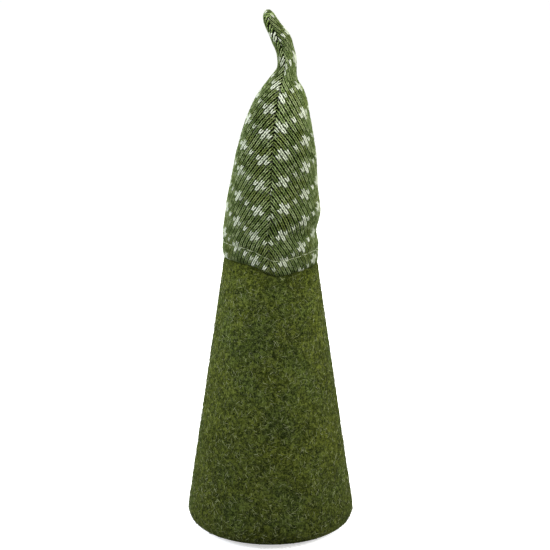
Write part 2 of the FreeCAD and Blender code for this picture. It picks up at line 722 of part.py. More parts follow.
def build_band():
    """Sewn band the beard hangs from, fixed to the sleeve under the hat's rim."""
    low_z, top_z, bend_z = beard_top + 1, dim("band_top"), dim("felt_b_z")
    low_r = side_at(low_z) + beard_gap
    top_r = dim("felt_b_r") + 0.5
    band = turned("beard_top_band", [
        (low_r, low_z), (low_r + backing_t, low_z), (lip_r, waist_z), (lip_r, waist_z + 2.2),
        (top_r + backing_t + 1.2, bend_z + 2.2), (top_r + backing_t, top_z), (top_r, top_z),
        (top_r, bend_z + 0.8), (side_at(waist_z) + beard_gap, waist_z + 0.6),
    ], span=dim("band_arc"))
    place(band, FRONT)
    bore(band, "band_peg_hole", dim("nose_z"), dim("peg_bore") + 0.1, 100, "Midplane", "YZ_Plane")


def build_beard_stitches():
    """Overcast stitches that hold the band: upright bars in an arc round its outside."""
    bar_length, count, span = 1.8, 9, 56
    stitches = new_body("beard_stitch_thread")
    profile = section(stitches, "beard_stitch_section", lip_r + thread_r + 0.02,
                      waist_z + 0.2, thread_r)
    bar = stitches.newObject("PartDesign::Pad", "beard_stitch_bar")
    bar.Profile = profile
    bar.Length = bar_length
    doc.recompute()
    pattern = stitches.newObject("PartDesign::PolarPattern", "beard_stitches")
    pattern.Originals = [bar]
    pattern.Axis = (origin_part(stitches, "Z_Axis"), [""])
    pattern.Angle = span
    pattern.Occurrences = count
    stitches.Tip = pattern
    stitches.AllowCompound = True
    place(stitches, FreeCAD.Rotation(V(0, 0, 1), -90 - span / 2))


build_base_disc()
build_sleeve()
build_sleeve_seam()
build_pad_and_board()
build_weight()
build_body_stuffing()
build_hat_shell()
build_hem()
build_hem_thread()
build_hat_stuffing()
build_wire_stem()
build_hat_joints()
build_tip()
build_nose()
build_peg()
build_beard()
build_band()
build_beard_stitches()
doc.recompute()

# --- check, then write -----------------------------------------------------------------------
bad = []
for item in doc.Objects:
    if "Invalid" in item.State or "Error" in item.State:
        bad.append("%s: %s" % (item.Name, item.State))
for piece in pieces:
    if piece.Shape.isNull() or not piece.Shape.isValid() or not piece.Shape.Solids:
        bad.append("%s has no valid solid" % piece.Label)
if bad:
    raise SystemExit("failed: " + "; ".join(bad))
os.makedirs("parts", exist_ok=True)
for piece in pieces:
    piece.Shape.exportStep("parts/%s.step" % piece.Label)
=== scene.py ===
"""A felt gnome with a knitted hat, a round wooden nose and a beard of wool locks.

It stands on z = 0 round the Z axis and faces -Y, so +X is its own left. Shapes are worked
out in millimetres and written in metres. Angles round it count from the front, positive
towards +X. The hat bends to -X and back again near its tip.
"""
import bpy
import json
import math
import numpy as np
from itertools import groupby
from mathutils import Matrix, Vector, noise


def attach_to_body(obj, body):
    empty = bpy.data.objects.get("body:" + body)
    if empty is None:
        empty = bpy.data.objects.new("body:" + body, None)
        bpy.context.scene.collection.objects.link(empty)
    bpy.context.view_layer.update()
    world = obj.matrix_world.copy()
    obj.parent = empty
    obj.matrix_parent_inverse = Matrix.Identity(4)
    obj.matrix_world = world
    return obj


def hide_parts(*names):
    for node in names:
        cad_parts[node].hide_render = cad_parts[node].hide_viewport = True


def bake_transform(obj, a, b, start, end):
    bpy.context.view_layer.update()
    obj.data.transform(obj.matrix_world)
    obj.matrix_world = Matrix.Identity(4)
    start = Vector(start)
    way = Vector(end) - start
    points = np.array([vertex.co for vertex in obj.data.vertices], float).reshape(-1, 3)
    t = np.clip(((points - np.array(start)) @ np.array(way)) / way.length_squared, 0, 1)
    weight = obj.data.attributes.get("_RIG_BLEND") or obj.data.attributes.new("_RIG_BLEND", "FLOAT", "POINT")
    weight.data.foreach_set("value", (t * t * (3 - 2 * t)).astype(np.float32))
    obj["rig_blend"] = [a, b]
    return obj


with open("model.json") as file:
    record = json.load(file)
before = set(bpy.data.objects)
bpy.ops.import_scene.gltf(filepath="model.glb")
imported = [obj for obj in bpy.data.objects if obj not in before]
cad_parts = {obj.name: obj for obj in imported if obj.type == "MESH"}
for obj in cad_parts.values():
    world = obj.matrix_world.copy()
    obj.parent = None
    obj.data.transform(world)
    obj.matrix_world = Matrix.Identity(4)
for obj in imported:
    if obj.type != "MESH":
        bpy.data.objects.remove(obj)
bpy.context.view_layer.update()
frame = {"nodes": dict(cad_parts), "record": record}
MM = 0.001
TAU = 2 * math.pi


# ---------------------------------------------------------------- numbers and meshes
def unit(v):
    return v / np.maximum(np.linalg.norm(v, axis=-1, keepdims=True), 1e-9)


def ease(x):
    """Smooth step from 0 to 1."""
    x = np.clip(x, 0, 1)
    return x * x * (3 - 2 * x)


def bell(x, width, power=2):
    return np.exp(-(x / width) ** power)


def wrap(angle):
    return (angle + np.pi) % TAU - np.pi


def smooth_interp(x, table, width):
    """Linear interpolation in (x, y) rows, blurred so the outline has no corners."""
    weights = (0.06, 0.12, 0.2, 0.24, 0.2, 0.12, 0.06)
    offsets = (-1.5, -1.0, -0.5, 0, 0.5, 1.0, 1.5)
    out = 0
    for weight, offset in zip(weights, offsets):
        out = out + weight * np.interp(x + offset * width, table[:, 0], table[:, 1])
    return out


def stretches(mask):
    """Index runs of more than two true values in a row."""
    found = np.where(mask)[0]
    runs = np.split(found, np.where(np.diff(found) > 1)[0] + 1)
    return [run for run in runs if len(run) > 2]


def grid_faces(rows, columns, closed=True, base=0):
    """Quads of a grid, wrapping along its rows when closed."""
    j = np.arange(columns if closed else columns - 1)
    i = np.arange(rows - 1)[:, None] * columns
    a = i + j[None]
    b = i + ((j + 1) % columns)[None]
    return base + np.stack([a, b, b + columns, a + columns], -1).reshape(-1, 4)


def shell_faces(rows_out, rows_in, columns):
    """Quads of a double wall of revolution: outer side, inner side and both lips."""
    j = np.arange(columns)
    after = (j + 1) % columns
    inner = rows_out * columns
    end_out, end_in = inner - columns, inner + (rows_in - 1) * columns
    return [grid_faces(rows_out, columns),
            grid_faces(rows_in, columns, base=inner)[:, ::-1],
            np.stack([after, j, inner + j, inner + after], -1),
            np.stack([end_out + j, end_out + after, end_in + after, end_in + j], -1)]


def write_mesh(name, verts, faces, material, attributes=None):
    """Make a smooth object from points in mm and a list of face index arrays."""
    mesh = bpy.data.meshes.new(name)
    mesh.vertices.add(len(verts))
    coords = (np.asarray(verts, float) * MM).astype(np.float32)
    mesh.vertices.foreach_set("co", coords.ravel())
    loops = np.concatenate([group.ravel() for group in faces]).astype(np.int32)
    sizes = np.concatenate([np.full(len(group), group.shape[1]) for group in faces])
    starts = np.concatenate([[0], np.cumsum(sizes)[:-1]]).astype(np.int32)
    mesh.loops.add(len(loops))
    mesh.loops.foreach_set("vertex_index", loops)
    mesh.polygons.add(len(sizes))
    mesh.polygons.foreach_set("loop_start", starts)
    mesh.polygons.foreach_set("use_smooth", np.full(len(sizes), True))
    mesh.update(calc_edges=True)
    mesh.validate()
    for key, values in (attributes or {}).items():
        attribute = mesh.attributes.new(key, "FLOAT", "POINT")
        attribute.data.foreach_set("value", np.asarray(values, np.float32))
    piece = bpy.data.objects.new(name, mesh)
    bpy.context.scene.collection.objects.link(piece)
    mesh.materials.append(material)
    return piece


def join(piece, slot, body, *replaced):
    """Attach a piece to the body it moves with and hide the CAD pieces it replaces. slot is not used."""
    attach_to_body(piece, body)
    if replaced:
        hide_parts(*replaced)


class Tubes:
    """Collects many round strands, closed at their ends, into one mesh.

    Point attributes: yl length along the strand, ya turn round it, yr its tone, yd 0 deep in the fabric to 1
    on top, which the yarn materials turn into painted shade."""

    def __init__(self, sides):
        self.sides, self.total = sides, 0
        self.verts, self.quads, self.tips = [], [], []
        self.attributes = {"yl": [], "ya": [], "yr": [], "yd": []}

    def record(self, *values):
        for rows, value in zip(self.attributes.values(), values):
            rows.append(value)

    def add(self, path, out, radius, tone=0.5, flat=1.0, depth=None, low=-0.10, high=1.0):
        """out points out of the fabric along the path; depth is how far the path stands out,
        and low and high are the depths that count as shaded and as on top."""
        count, sides = len(path), self.sides
        radius = np.broadcast_to(np.asarray(radius, float), (count,))
        tone = np.broadcast_to(np.asarray(tone, float), (count,))
        along = unit(np.gradient(path, axis=0))
        across = unit(np.cross(along, out))
        normal = np.cross(across, along)
        j = np.arange(sides)
        after = (j + 1) % sides
        turn = j / sides * TAU
        ring = path[:, None] + radius[:, None, None] * (
            np.cos(turn)[None, :, None] * across[:, None]
            + flat * np.sin(turn)[None, :, None] * normal[:, None])
        first = self.total
        row = first + np.arange(count - 1)[:, None] * sides
        a, b = row + j, row + after
        self.quads.append(np.stack([a, a + sides, b + sides, b], -1).reshape(-1, 4))
        self.verts.append(ring.reshape(-1, 3))
        steps = np.linalg.norm(np.diff(path, axis=0), axis=1)
        length = np.concatenate([[0], np.cumsum(steps)])
        if depth is None:
            light = np.ones((count, sides))
        else:
            height = np.asarray(depth)[:, None] + radius[:, None] * np.sin(turn)[None]
            light = np.clip((height - low) / (high - low), 0, 1)
        self.record(np.repeat(length, sides), np.tile(j / sides, count),
                    np.repeat(tone, sides), light.ravel())
        self.total += count * sides
        for end, sign in ((0, 1), (count - 1, -1)):
            self.verts.append((path[end] - sign * along[end] * radius[end] * 0.45)[None])
            edge = [first + end * sides + j, first + end * sides + after][::sign]
            self.tips.append(np.stack([*edge, np.full(sides, self.total)], -1))
            self.record([length[end]], [0.0], [tone[end]], [light[end].mean()])
            self.total += 1

    def make(self, name, material):
        attributes = {key: np.concatenate(rows) for key, rows in self.attributes.items()}
        faces = [np.concatenate(self.quads), np.concatenate(self.tips)]
        return write_mesh(name, np.concatenate(self.verts), faces, material, attributes)


# ---------------------------------------------------------------- materials
BLACK, WHITE = (0, 0, 0, 1), (1, 1, 1, 1)


def srgb(*channels):
    """Linear colour from 0 to 255 sRGB channels."""
    shares = [c / 255.0 for c in channels]
    return (*(c / 12.92 if c <= 0.04045 else ((c + 0.055) / 1.055) ** 2.4 for c in shares), 1.0)


def grey(value):
    return (value, value, value, 1)


class Mat:
    """A node material under construction; methods return output sockets."""

    def __init__(self, name):
        self.material = bpy.data.materials.new(name)
        self.material.use_nodes = True
        self.tree = self.material.node_tree
        self.shader = self.tree.nodes["Principled BSDF"]

    def node(self, kind, **settings):
        n = self.tree.nodes.new(kind)
        for key, value in settings.items():
            if key in n.inputs:
                n.inputs[key].default_value = value
            else:
                setattr(n, key, value)
        return n

    def link(self, output, target):
        self.tree.links.new(output, target)

    def feed(self, n, inputs):
        """Link sockets and set plain values; inputs pairs an input's index with either."""
        for index, value in inputs:
            if isinstance(value, (int, float, tuple)):
                n.inputs[index].default_value = value
            else:
                self.link(value, n.inputs[index])

    def coords(self):
        return self.node("ShaderNodeTexCoord").outputs["Object"]

    def axes(self, co=None):
        n = self.node("ShaderNodeSeparateXYZ")
        self.link(co or self.coords(), n.inputs[0])
        return n.outputs

    def noise(self, scale, detail=4.0, rough=0.55, co=None):
        n = self.node("ShaderNodeTexNoise", Scale=scale, Detail=detail, Roughness=rough)
        self.link(co or self.coords(), n.inputs["Vector"])
        return n.outputs["Fac"]

    def ramp(self, fac, stops):
        n = self.node("ShaderNodeValToRGB")
        elements = n.color_ramp.elements
        while len(elements) < len(stops):
            elements.new(0.5)
        for element, (position, color) in zip(elements, stops):
            element.position, element.color = position, color
        self.link(fac, n.inputs["Fac"])
        return n.outputs["Color"]

    def fade(self, fac, start, end, first=BLACK, last=WHITE):
        return self.ramp(fac, [(start, first), (end, last)])

    def mix(self, fac, a, b, mode="MIX"):
        n = self.node("ShaderNodeMix", data_type="RGBA", blend_type=mode)
        self.feed(n, ((0, fac), (6, a), (7, b)))
        return n.outputs[2]

    def tint(self, a, b, fac=1.0):
        return self.mix(fac, a, b, "MULTIPLY")

    def math(self, operation, a, b=0.0):
        n = self.node("ShaderNodeMath", operation=operation)
        self.feed(n, enumerate((a, b, 0.0)))
        return n.outputs[0]

    def add(self, a, b):
        return self.math("ADD", a, b)

    def mul(self, a, b):
        return self.math("MULTIPLY", a, b)

    def weigh(self, a, a_share, b, b_share):
        return self.add(self.mul(a, a_share), self.mul(b, b_share))

    def attr(self, name):
        return self.node("ShaderNodeAttribute", attribute_name=name).outputs["Fac"]

    def bump(self, height, strength, distance, under=None):
        n = self.node("ShaderNodeBump", Strength=strength, Distance=distance)
        self.link(height, n.inputs["Height"])
        if under is not None:
            self.link(under, n.inputs["Normal"])
        return n.outputs["Normal"]

    def done(self, color, rough=0.9, normal=None, sheen=0.0, sheen_rough=0.5, tint=None,
             spec=0.2, metal=0.0):
        inputs = self.shader.inputs
        self.link(color, inputs["Base Color"])
        self.feed(self.shader, [("Roughness", rough)])
        if normal is not None:
            self.link(normal, inputs["Normal"])
        inputs["Specular IOR Level"].default_value = spec
        inputs["Sheen Weight"].default_value = sheen
        inputs["Sheen Roughness"].default_value = sheen_rough
        inputs["Metallic"].default_value = metal
        if tint:
            inputs["Sheen Tint"].default_value = tint
        return self.material


def yarn_mat(name, *colors, plies=3, pitch=2.4, sheen=0.25, speck=0.25, bump=0.6, shade=0.2,
             warm=None, lift=None, rim=0.0):
    """Spun yarn in three tones: plies wind round the strand (pitch in mm), specks of fibre, tone drifting
    from stitch to stitch, with painted shade in the grooves between the plies. shade is the light left deep
    in the fabric under painted shade, warm a patch colour, lift brightens towards the tip of the hat as
    painted light, rim darkens at grazing angles as painted shade."""
    low, mid, high = (srgb(*color) for color in colors)
    M = Mat(name)
    along, around, tone, depth = M.attr("yl"), M.attr("ya"), M.attr("yr"), M.attr("yd")
    turns = M.add(M.mul(around, float(plies)), M.math("DIVIDE", along, pitch))
    phase = M.mul(turns, TAU)
    ply = M.math("ABSOLUTE", M.math("SINE", M.mul(phase, 0.5)))
    fine = M.noise(scale=2600.0, detail=3.0, rough=0.65)
    drift = M.noise(scale=230.0, detail=3.0)
    fac = M.weigh(drift, 0.55, tone, 0.45)
    fac = M.weigh(fine, speck, fac, 1.0 - speck)
    color = M.ramp(fac, [(0.3, low), (0.5, mid), (0.7, high)])
    if lift:
        # painted light: the yarn is drawn brighter up the hat, reaching full brightness over 0.03 m from a
        # height of 0.335 m
        up = M.math("DIVIDE", M.math("SUBTRACT", M.axes()[2], 0.335), 0.03)
        color = M.tint(color, M.fade(up, 0.0, 1.0, grey(1 / lift)))
        color = M.tint(color, grey(lift))
    if warm:
        patch = M.fade(M.noise(scale=75.0, detail=2.0), 0.5, 0.66)
        color = M.mix(M.mul(patch, 0.4), color, srgb(*warm))
    # painted shade in the grooves between the plies
    light = M.add(0.62, M.mul(ply, 0.38))
    # painted shade: yarn deep in the fabric is drawn darker
    open_share = M.math("POWER", depth, 1.3)
    light = M.mul(light, M.add(shade, M.mul(open_share, 1.0 - shade)))
    # painted shade on the strands' edges, where they are seen at grazing angles
    if rim:
        facing = M.node("ShaderNodeLayerWeight", Blend=0.35).outputs["Facing"]
        light = M.mul(light, M.math("SUBTRACT", 1.0, M.mul(facing, rim)))
    color = M.tint(color, M.fade(light, 0.0, 1.0))
    normal = M.bump(ply, strength=bump, distance=0.0004)
    normal = M.bump(fine, strength=0.35, distance=0.0003, under=normal)
    return M.done(color, rough=0.92, normal=normal, sheen=sheen, sheen_rough=0.45,
                  tint=(mid[0] * 1.2, mid[1] * 1.2, mid[2] * 1.2, 1), spec=0.12)


def felt_mat(name, *colors, floor_shade=True):
    """Pressed wool: short fibres in every direction, darker and lighter wool blended together. The flag
    after the colours adds painted shade, darker towards the floor."""
    dark, mid, light, speck = (srgb(*color) for color in colors)
    M = Mat(name)
    co = M.coords()
    swirl = M.node("ShaderNodeTexNoise", Scale=420.0, Detail=2.0)
    M.link(co, swirl.inputs["Vector"])
    warp = M.node("ShaderNodeVectorMath", operation="MULTIPLY_ADD")
    warp_size = (0.004, 0.004, 0.004)
    M.feed(warp, ((0, swirl.outputs["Color"]), (1, warp_size), (2, co)))
    warped = warp.outputs[0]
    blotch = M.noise(scale=38.0, detail=3.0, rough=0.6)
    clump = M.noise(scale=250.0, detail=3.0, rough=0.65)
    fibre = M.noise(scale=520.0, detail=3.0, rough=0.75, co=warped)
    fine = M.noise(scale=1100.0, detail=2.0, rough=0.7, co=warped)
    cells = M.node("ShaderNodeTexVoronoi", feature="DISTANCE_TO_EDGE", Scale=420.0)
    M.link(warped, cells.inputs["Vector"])
    line = M.fade(cells.outputs["Distance"], 0.0, 0.12, WHITE, BLACK)
    fac = M.weigh(fibre, 0.62, clump, 0.28)
    fac = M.add(fac, M.mul(blotch, 0.10))
    color = M.ramp(fac, [(0.44, dark), (0.505, mid), (0.575, light)])
    color = M.mix(M.mul(M.fade(fine, 0.54, 0.66), 0.55), color, speck)
    pit = M.fade(M.noise(scale=880.0, detail=3.0, rough=0.7), 0.36, 0.46, WHITE, BLACK)
    color = M.mix(M.mul(pit, 0.55), color, dark)
    color = M.mix(M.mul(line, 0.25), color, light)
    # wide cooler and warmer patches
    patch = M.noise(scale=30.0, rough=0.6)
    cool = M.fade(patch, 0.50, 0.60)
    warm = M.fade(patch, 0.40, 0.49, WHITE, BLACK)
    color = M.tint(color, (0.62, 0.84, 1.35, 1), fac=M.mul(cool, 0.30))
    color = M.tint(color, (1.12, 1.04, 0.40, 1), fac=M.mul(warm, 0.22))
    # painted shade: the felt is drawn darker towards the floor, below a height of 0.24 m
    if floor_shade:
        height = M.math("DIVIDE", M.axes(co)[2], 0.24)
        stops = [(0.0, grey(0.62)), (0.45, grey(0.80)), (1.0, grey(1.02))]
        color = M.tint(color, M.ramp(height, stops))
    # painted shadow of the hat's rim on the felt close under it
    color = M.mix(M.mul(M.attr("rim_shadow"), 0.42), color, dark)
    relief = M.add(fibre, M.mul(line, 0.5))
    normal = M.bump(relief, strength=0.7, distance=0.0008)
    normal = M.bump(fine, strength=0.45, distance=0.0004, under=normal)
    return M.done(color, rough=0.95, normal=normal, sheen=0.42, sheen_rough=0.28,
                  tint=(light[0], light[1], light[2] * 1.4, 1), spec=0.04)


def wood_mat(name, dark, light, scale=60.0):
    """Wood with its grain drawn out along Z."""
    dark, light = srgb(*dark), srgb(*light)
    M = Mat(name)
    mapping = M.node("ShaderNodeMapping", Scale=(1.0, 1.0, 0.12))
    M.link(M.coords(), mapping.inputs["Vector"])
    grain = mapping.outputs[0]
    wave = M.node("ShaderNodeTexWave", Scale=scale, Distortion=3.0, Detail=3.0)
    wave.inputs["Detail Scale"].default_value = 1.4
    M.link(grain, wave.inputs["Vector"])
    pores = M.noise(scale=2200.0, detail=3.0, rough=0.6, co=grain)
    broad = M.noise(scale=90.0, detail=3.0)
    fac = M.weigh(wave.outputs["Fac"], 0.35, broad, 0.65)
    color = M.fade(fac, 0.25, 0.75, dark, light)
    color = M.mix(M.mul(pores, 0.3), color, dark)
    normal = M.bump(pores, strength=0.25, distance=0.0002)
    normal = M.bump(wave.outputs["Fac"], strength=0.08, distance=0.0003, under=normal)
    return M.done(color, rough=M.add(0.45, M.mul(pores, 0.15)), normal=normal, spec=0.4)


def fleck_mat(name, dark, light, scale, rough=0.9, bump=0.4, dist=0.0005, sheen=0.1, metal=0.0):
    """Two tones in coarse and fine flecks."""
    M = Mat(name)
    coarse = M.noise(scale, detail=5.0, rough=0.65)
    fine = M.noise(scale * 5, detail=3.0, rough=0.6)
    color = M.fade(M.weigh(coarse, 0.6, fine, 0.4), 0.35, 0.65, srgb(*dark), srgb(*light))
    normal = M.bump(fine, strength=bump, distance=dist)
    rough = M.add(rough - 0.05, M.mul(coarse, 0.1))
    return M.done(color, rough, normal, sheen, metal=metal)


def weave_mat(name, dark, light, scale):
    """Plain woven cotton."""
    M = Mat(name)
    x, y, z = M.axes()
    warp = M.math("SINE", M.mul(M.add(x, y), scale))
    weft = M.math("SINE", M.mul(z, scale))
    weave = M.add(M.mul(warp, 0.25), M.add(M.mul(weft, 0.25), 0.5))
    fuzz = M.noise(scale=900.0)
    color = M.fade(M.weigh(weave, 0.5, fuzz, 0.5), 0.3, 0.7, srgb(*dark), srgb(*light))
    return M.done(color, normal=M.bump(weave, strength=0.5, distance=0.0004), sheen=0.2)


yarn_green = yarn_mat("yarn_green", (92, 112, 52), (126, 146, 83), (168, 183, 128),
                      sheen=0.04, shade=0.05, warm=(130, 140, 60), lift=1.5, rim=0.75)
yarn_white = yarn_mat("yarn_white", (182, 192, 160), (214, 223, 192), (232, 238, 214),
                      sheen=0.05, lift=1.15, rim=0.5)
# painted shade: dark copies of the green yarn, for the shell behind the knit
yarn_shade_dark = yarn_mat("yarn_shade_dark", (22, 32, 9), (31, 43, 14), (42, 55, 21), sheen=0.05)
yarn_shade_mid = yarn_mat("yarn_shade_mid", (36, 48, 18), (50, 64, 27), (66, 82, 40), sheen=0.05)
thread_light = yarn_mat("thread_light", (150, 160, 120), (176, 184, 146), (200, 206, 172),
                        plies=2, pitch=1.2)
thread_green = yarn_mat("thread_green", (60, 72, 30), (78, 90, 40), (96, 108, 56),
                        plies=2, pitch=1.2)
felt_green = felt_mat("felt", (16, 24, 0), (50, 59, 8), (98, 108, 44), (138, 146, 86))
felt_dark = felt_mat("felt_under", (26, 32, 12), (40, 48, 20), (56, 64, 30), (70, 80, 44),
                     floor_shade=False)

# material of each CAD material slot
SLOTS = {
    "felt_green": felt_green, "felt_dark": felt_dark,
    "green_thread": fleck_mat("cad_thread_green", (60, 72, 30), (88, 100, 48), scale=2600.0),
    "light_thread": fleck_mat("cad_thread_light", (150, 158, 120), (196, 202, 168), scale=2600.0),
    "knit_green": fleck_mat("cad_knit", (60, 76, 30), (100, 118, 62), scale=700.0),
    "foam": fleck_mat("foam", (205, 196, 160), (232, 226, 198), scale=700.0,
                      rough=0.95, bump=0.7, dist=0.001),
    "fibreboard": fleck_mat("fibreboard", (118, 84, 52), (160, 120, 78), scale=500.0, rough=0.8),
    "cotton_cloth": weave_mat("cotton_cloth", (186, 174, 148), (220, 212, 190), scale=5200.0),
    "stone_granules": fleck_mat("stone_granules", (120, 112, 100), (186, 178, 164), scale=420.0,
                                rough=0.85, bump=0.9, dist=0.0015, sheen=0.0),
    "string": fleck_mat("string", (150, 126, 88), (196, 172, 130), scale=1800.0),
    "fibre_fill": fleck_mat("fibre_fill", (222, 222, 216), (246, 246, 242), scale=260.0,
                            rough=0.95, bump=0.8, dist=0.002, sheen=0.4),
    "steel_wire": fleck_mat("steel_wire", (140, 142, 146), (176, 178, 182), scale=1600.0,
                            rough=0.38, bump=0.1, dist=0.0002, sheen=0.0, metal=1.0),
    "birch": wood_mat("birch", (206, 166, 118), (226, 192, 148)),
    "beech": wood_mat("beech", (176, 128, 84), (204, 158, 112), scale=90.0),
    "beard_cloth": weave_mat("beard_cloth", (196, 190, 170), (226, 222, 206), scale=5600.0),
    "beard_wool": fleck_mat("cad_beard", (206, 200, 182), (236, 232, 218), scale=500.0,
                            rough=0.95, bump=0.6, dist=0.001, sheen=0.4),
}
for subpart in frame["record"]["subparts"]:
    cad_piece = frame["nodes"][subpart["node"]]
    material = SLOTS[subpart["material_slot"]]
    if not cad_piece.material_slots:
        cad_piece.data.materials.append(material)
    for material_slot in cad_piece.material_slots:
        material_slot.material = material

# ---------------------------------------------------------------- hat: outline and surface
# (height, outer radius)
HAT_OUTLINE = np.array([
    (200, 37.0), (213.8, 36.2), (218.4, 36.6), (223, 37.0), (228, 36.7), (232.4, 36.1),
    (237, 35.8), (241.7, 36.2), (246.3, 36.5), (251, 36.4), (255.6, 35.8), (260.2, 35.1),
    (264.8, 34.3), (269.4, 33.5), (274, 33.0), (278.6, 32.4), (283.2, 31.8), (292.3, 30.7),
    (297, 29.9), (301.4, 28.7), (306, 27.9), (310.5, 26.8), (315, 25.7), (319.5, 24.5),
    (324, 23.0), (328.5, 21.8), (333, 20.3), (337.4, 18.4), (341.9, 16.1), (346.3, 12.9),
    (350.7, 10.0), (355.2, 7.9), (359.6, 7.6), (364, 7.6), (368.4, 7.3), (372.9, 7.3),
    (377.3, 7.8), (381.7, 7.2), (386, 6.2), (390.4, 5.8), (394.8, 5.0), (398, 4.2)])
# (height, x of the hat's middle)
HAT_SPINE = np.array([
    (200, 0), (218.4, -0.15), (223, -0.4), (227.8, 0.2), (232.4, 0.9), (237, 0.5),
    (241.7, -0.6), (246.3, -1.6), (251, -2.1), (255.6, -2.1), (264.8, -2.4), (274, -2.8),
    (283.2, -3.6), (292.3, -4.1), (301.4, -4.7), (310.5, -5.2), (319.5, -5.9), (328.5, -7.0),
    (337.4, -8.3), (346.3, -9.8), (350.7, -11.0), (355.2, -12.2), (359.6, -12.6), (364, -12.5),
    (368.4, -11.7), (372.9, -10.5), (377.3, -8.9), (381.7, -6.4), (386, -3.6), (390.4, -0.9),
    (394.8, 1.0), (400.6, 2.2)])
# (height, degrees the seam has drifted off the back)
SEAM_DRIFT = np.array([
    (205, 1.5), (230, 2.2), (252, 3.1), (275, 4.2), (292, 4.9), (310, 5.6), (330, 6.4),
    (345, 7.5), (356, 13.0), (372, 18.0), (380, 16.0), (400, 14.0)])
# (degrees from the front, height of the rim)
RIM = np.array([
    (-180, 206.3), (-167, 205.8), (-150, 207.6), (-130, 209.2), (-90, 210.4), (-45, 216.0),
    (-24, 220.2), (-11, 225.6), (0, 227.9), (11, 226.0), (24, 221.0), (45, 217.8), (90, 215.4),
    (120, 215.2), (150, 214.2), (165, 211.4), (175, 208.0), (180, 206.3)])
TIP_Z = 399.9
CAP_Z = 393.5         # the tip closes as a rounded cap from here
ORIGIN_Z = 213.0      # where length along the hat counts from
LEAN_Z, LEAN_RISE = 340.0, 16.0  # rings start to tilt with the spine here, over this height
PANEL_LENGTH = 210.8  # the flat panel is a sector this long
PANEL_HALF = 0.6118   # half its opening angle
STITCH_W, STITCH_H = 3.289, 2.761  # one stitch in the flat panel
YARN_R = 0.50
STITCH_DEPTH = 0.55   # how far a stitch's legs stand in front of its ends
FOLD = 1.7            # radius of the turned edge
HEM = 9.7             # height of the folded hem

hat_z = np.arange(196.0, TIP_Z + 0.01, 0.1)
hat_x = smooth_interp(hat_z, HAT_SPINE, 2.6)
# radius to the middle of the knit
hat_r = smooth_interp(hat_z, HAT_OUTLINE, 2.2) - (STITCH_DEPTH + YARN_R)
cap = np.clip((hat_z - CAP_Z) / (TIP_Z - CAP_Z), 0, 1)
hat_r = hat_r * np.sqrt(np.clip(1 - cap ** 2.6, 0.0, 1)) + 0.02
lean_on = (hat_z - LEAN_Z) / LEAN_RISE
hat_lean = np.arctan2(np.gradient(hat_x, hat_z), 1.0)
hat_lean = np.convolve(np.pad(hat_lean, 20, "edge"), np.ones(41) / 41, "valid")
hat_lean *= ease(lean_on)
hat_step = np.hypot(np.hypot(np.gradient(hat_r), np.gradient(hat_z)),
                    np.gradient(hat_x) * np.clip(lean_on, 0, 1))
hat_s = np.concatenate([[0], np.cumsum((hat_step[1:] + hat_step[:-1]) / 2)])
hat_s -= np.interp(ORIGIN_Z, hat_z, hat_s)
S_END = float(hat_s[-1])

rim_angles = np.radians(np.arange(-180, 181, 1.0))
rim_z = np.interp(rim_angles, np.radians(RIM[:, 0]), RIM[:, 1])
blur = np.hanning(19)[1:-1]
rim_z = np.convolve(np.concatenate([rim_z[-9:-1], rim_z, rim_z[1:9]]), blur / blur.sum(),
                    "same")[8:-8]


def height_at(s):
    return np.interp(s, hat_s, hat_z)


def length_at(z):
    return np.interp(z, hat_z, hat_s)


def radius_at(s):
    return np.interp(s, hat_s, hat_r)


def seam_drift(z):
    return np.interp(z, SEAM_DRIFT[:, 0], np.radians(SEAM_DRIFT[:, 1]))


def rim_height(angle):
    return np.interp(wrap(angle), rim_angles, rim_z)


def rim_start(angle):
    """Length along the hat where the turned edge starts."""
    return length_at(rim_height(angle) + FOLD + YARN_R * 0.6)


def lumps(angle, s):
    """Smooth variation, periodic round the hat."""
    draw = np.random.default_rng(3)
    out = np.zeros_like(angle)
    for _ in range(9):
        waves = draw.integers(1, 6)
        around = np.cos(waves * angle + draw.uniform(0, 6.28))
        out = out + around * np.cos(s / 17.0 * draw.uniform(0.6, 2.2) + draw.uniform(0, 6.28))
    return out / 4.0


def hat_point(s, angle):
    """The fabric's middle, s mm up from ORIGIN_Z. Below the rim it turns under and runs
    back up inside, little further than the hem is wide."""
    s, angle = np.broadcast_arrays(np.asarray(s, float), np.asarray(angle, float))
    start = rim_start(angle)
    above = s - start
    inside = np.clip(-above - np.pi * FOLD, 0, HEM + 2.0)
    s = np.where(above > 0, s, start + inside)
    z = height_at(s)
    radius = radius_at(s)
    # lumpy in the lower, looser part
    radius = radius + 0.35 * np.clip((330 - z) / 60.0, 0, 1) * lumps(angle, s)
    # drawn in along the hem stitching, full below it
    edge = np.where(above > 0, above, inside)
    radius = radius - 0.75 * bell(edge - HEM, 1.9) + 0.45 * bell(edge - 4.2, 3.4)
    # the brim lies over the top of the nose
    radius = radius + 8.2 * bell(wrap(angle), 0.27) * bell(edge, 14.0, 1.7)
    # the seam allowance draws the fabric in along the back
    off_seam = np.abs(wrap(angle + seam_drift(z) - np.pi)) * radius
    draw_in = 0.6 * bell(off_seam, 1.8) + 0.8 * bell(off_seam, 0.6)
    radius = radius - draw_in * np.clip(radius / 7.0, 0, 1)
    turn = np.clip(-above / FOLD, 0, np.pi)
    x = (radius - FOLD * (1 - np.cos(turn))) * np.sin(angle)
    y = -(radius - FOLD * (1 - np.cos(turn))) * np.cos(angle)
    lean = np.interp(z, hat_z, hat_lean)
    return np.stack([np.interp(z, hat_z, hat_x) + x * np.cos(lean), y,
                     z - FOLD * np.sin(turn) - x * np.sin(lean)], -1)


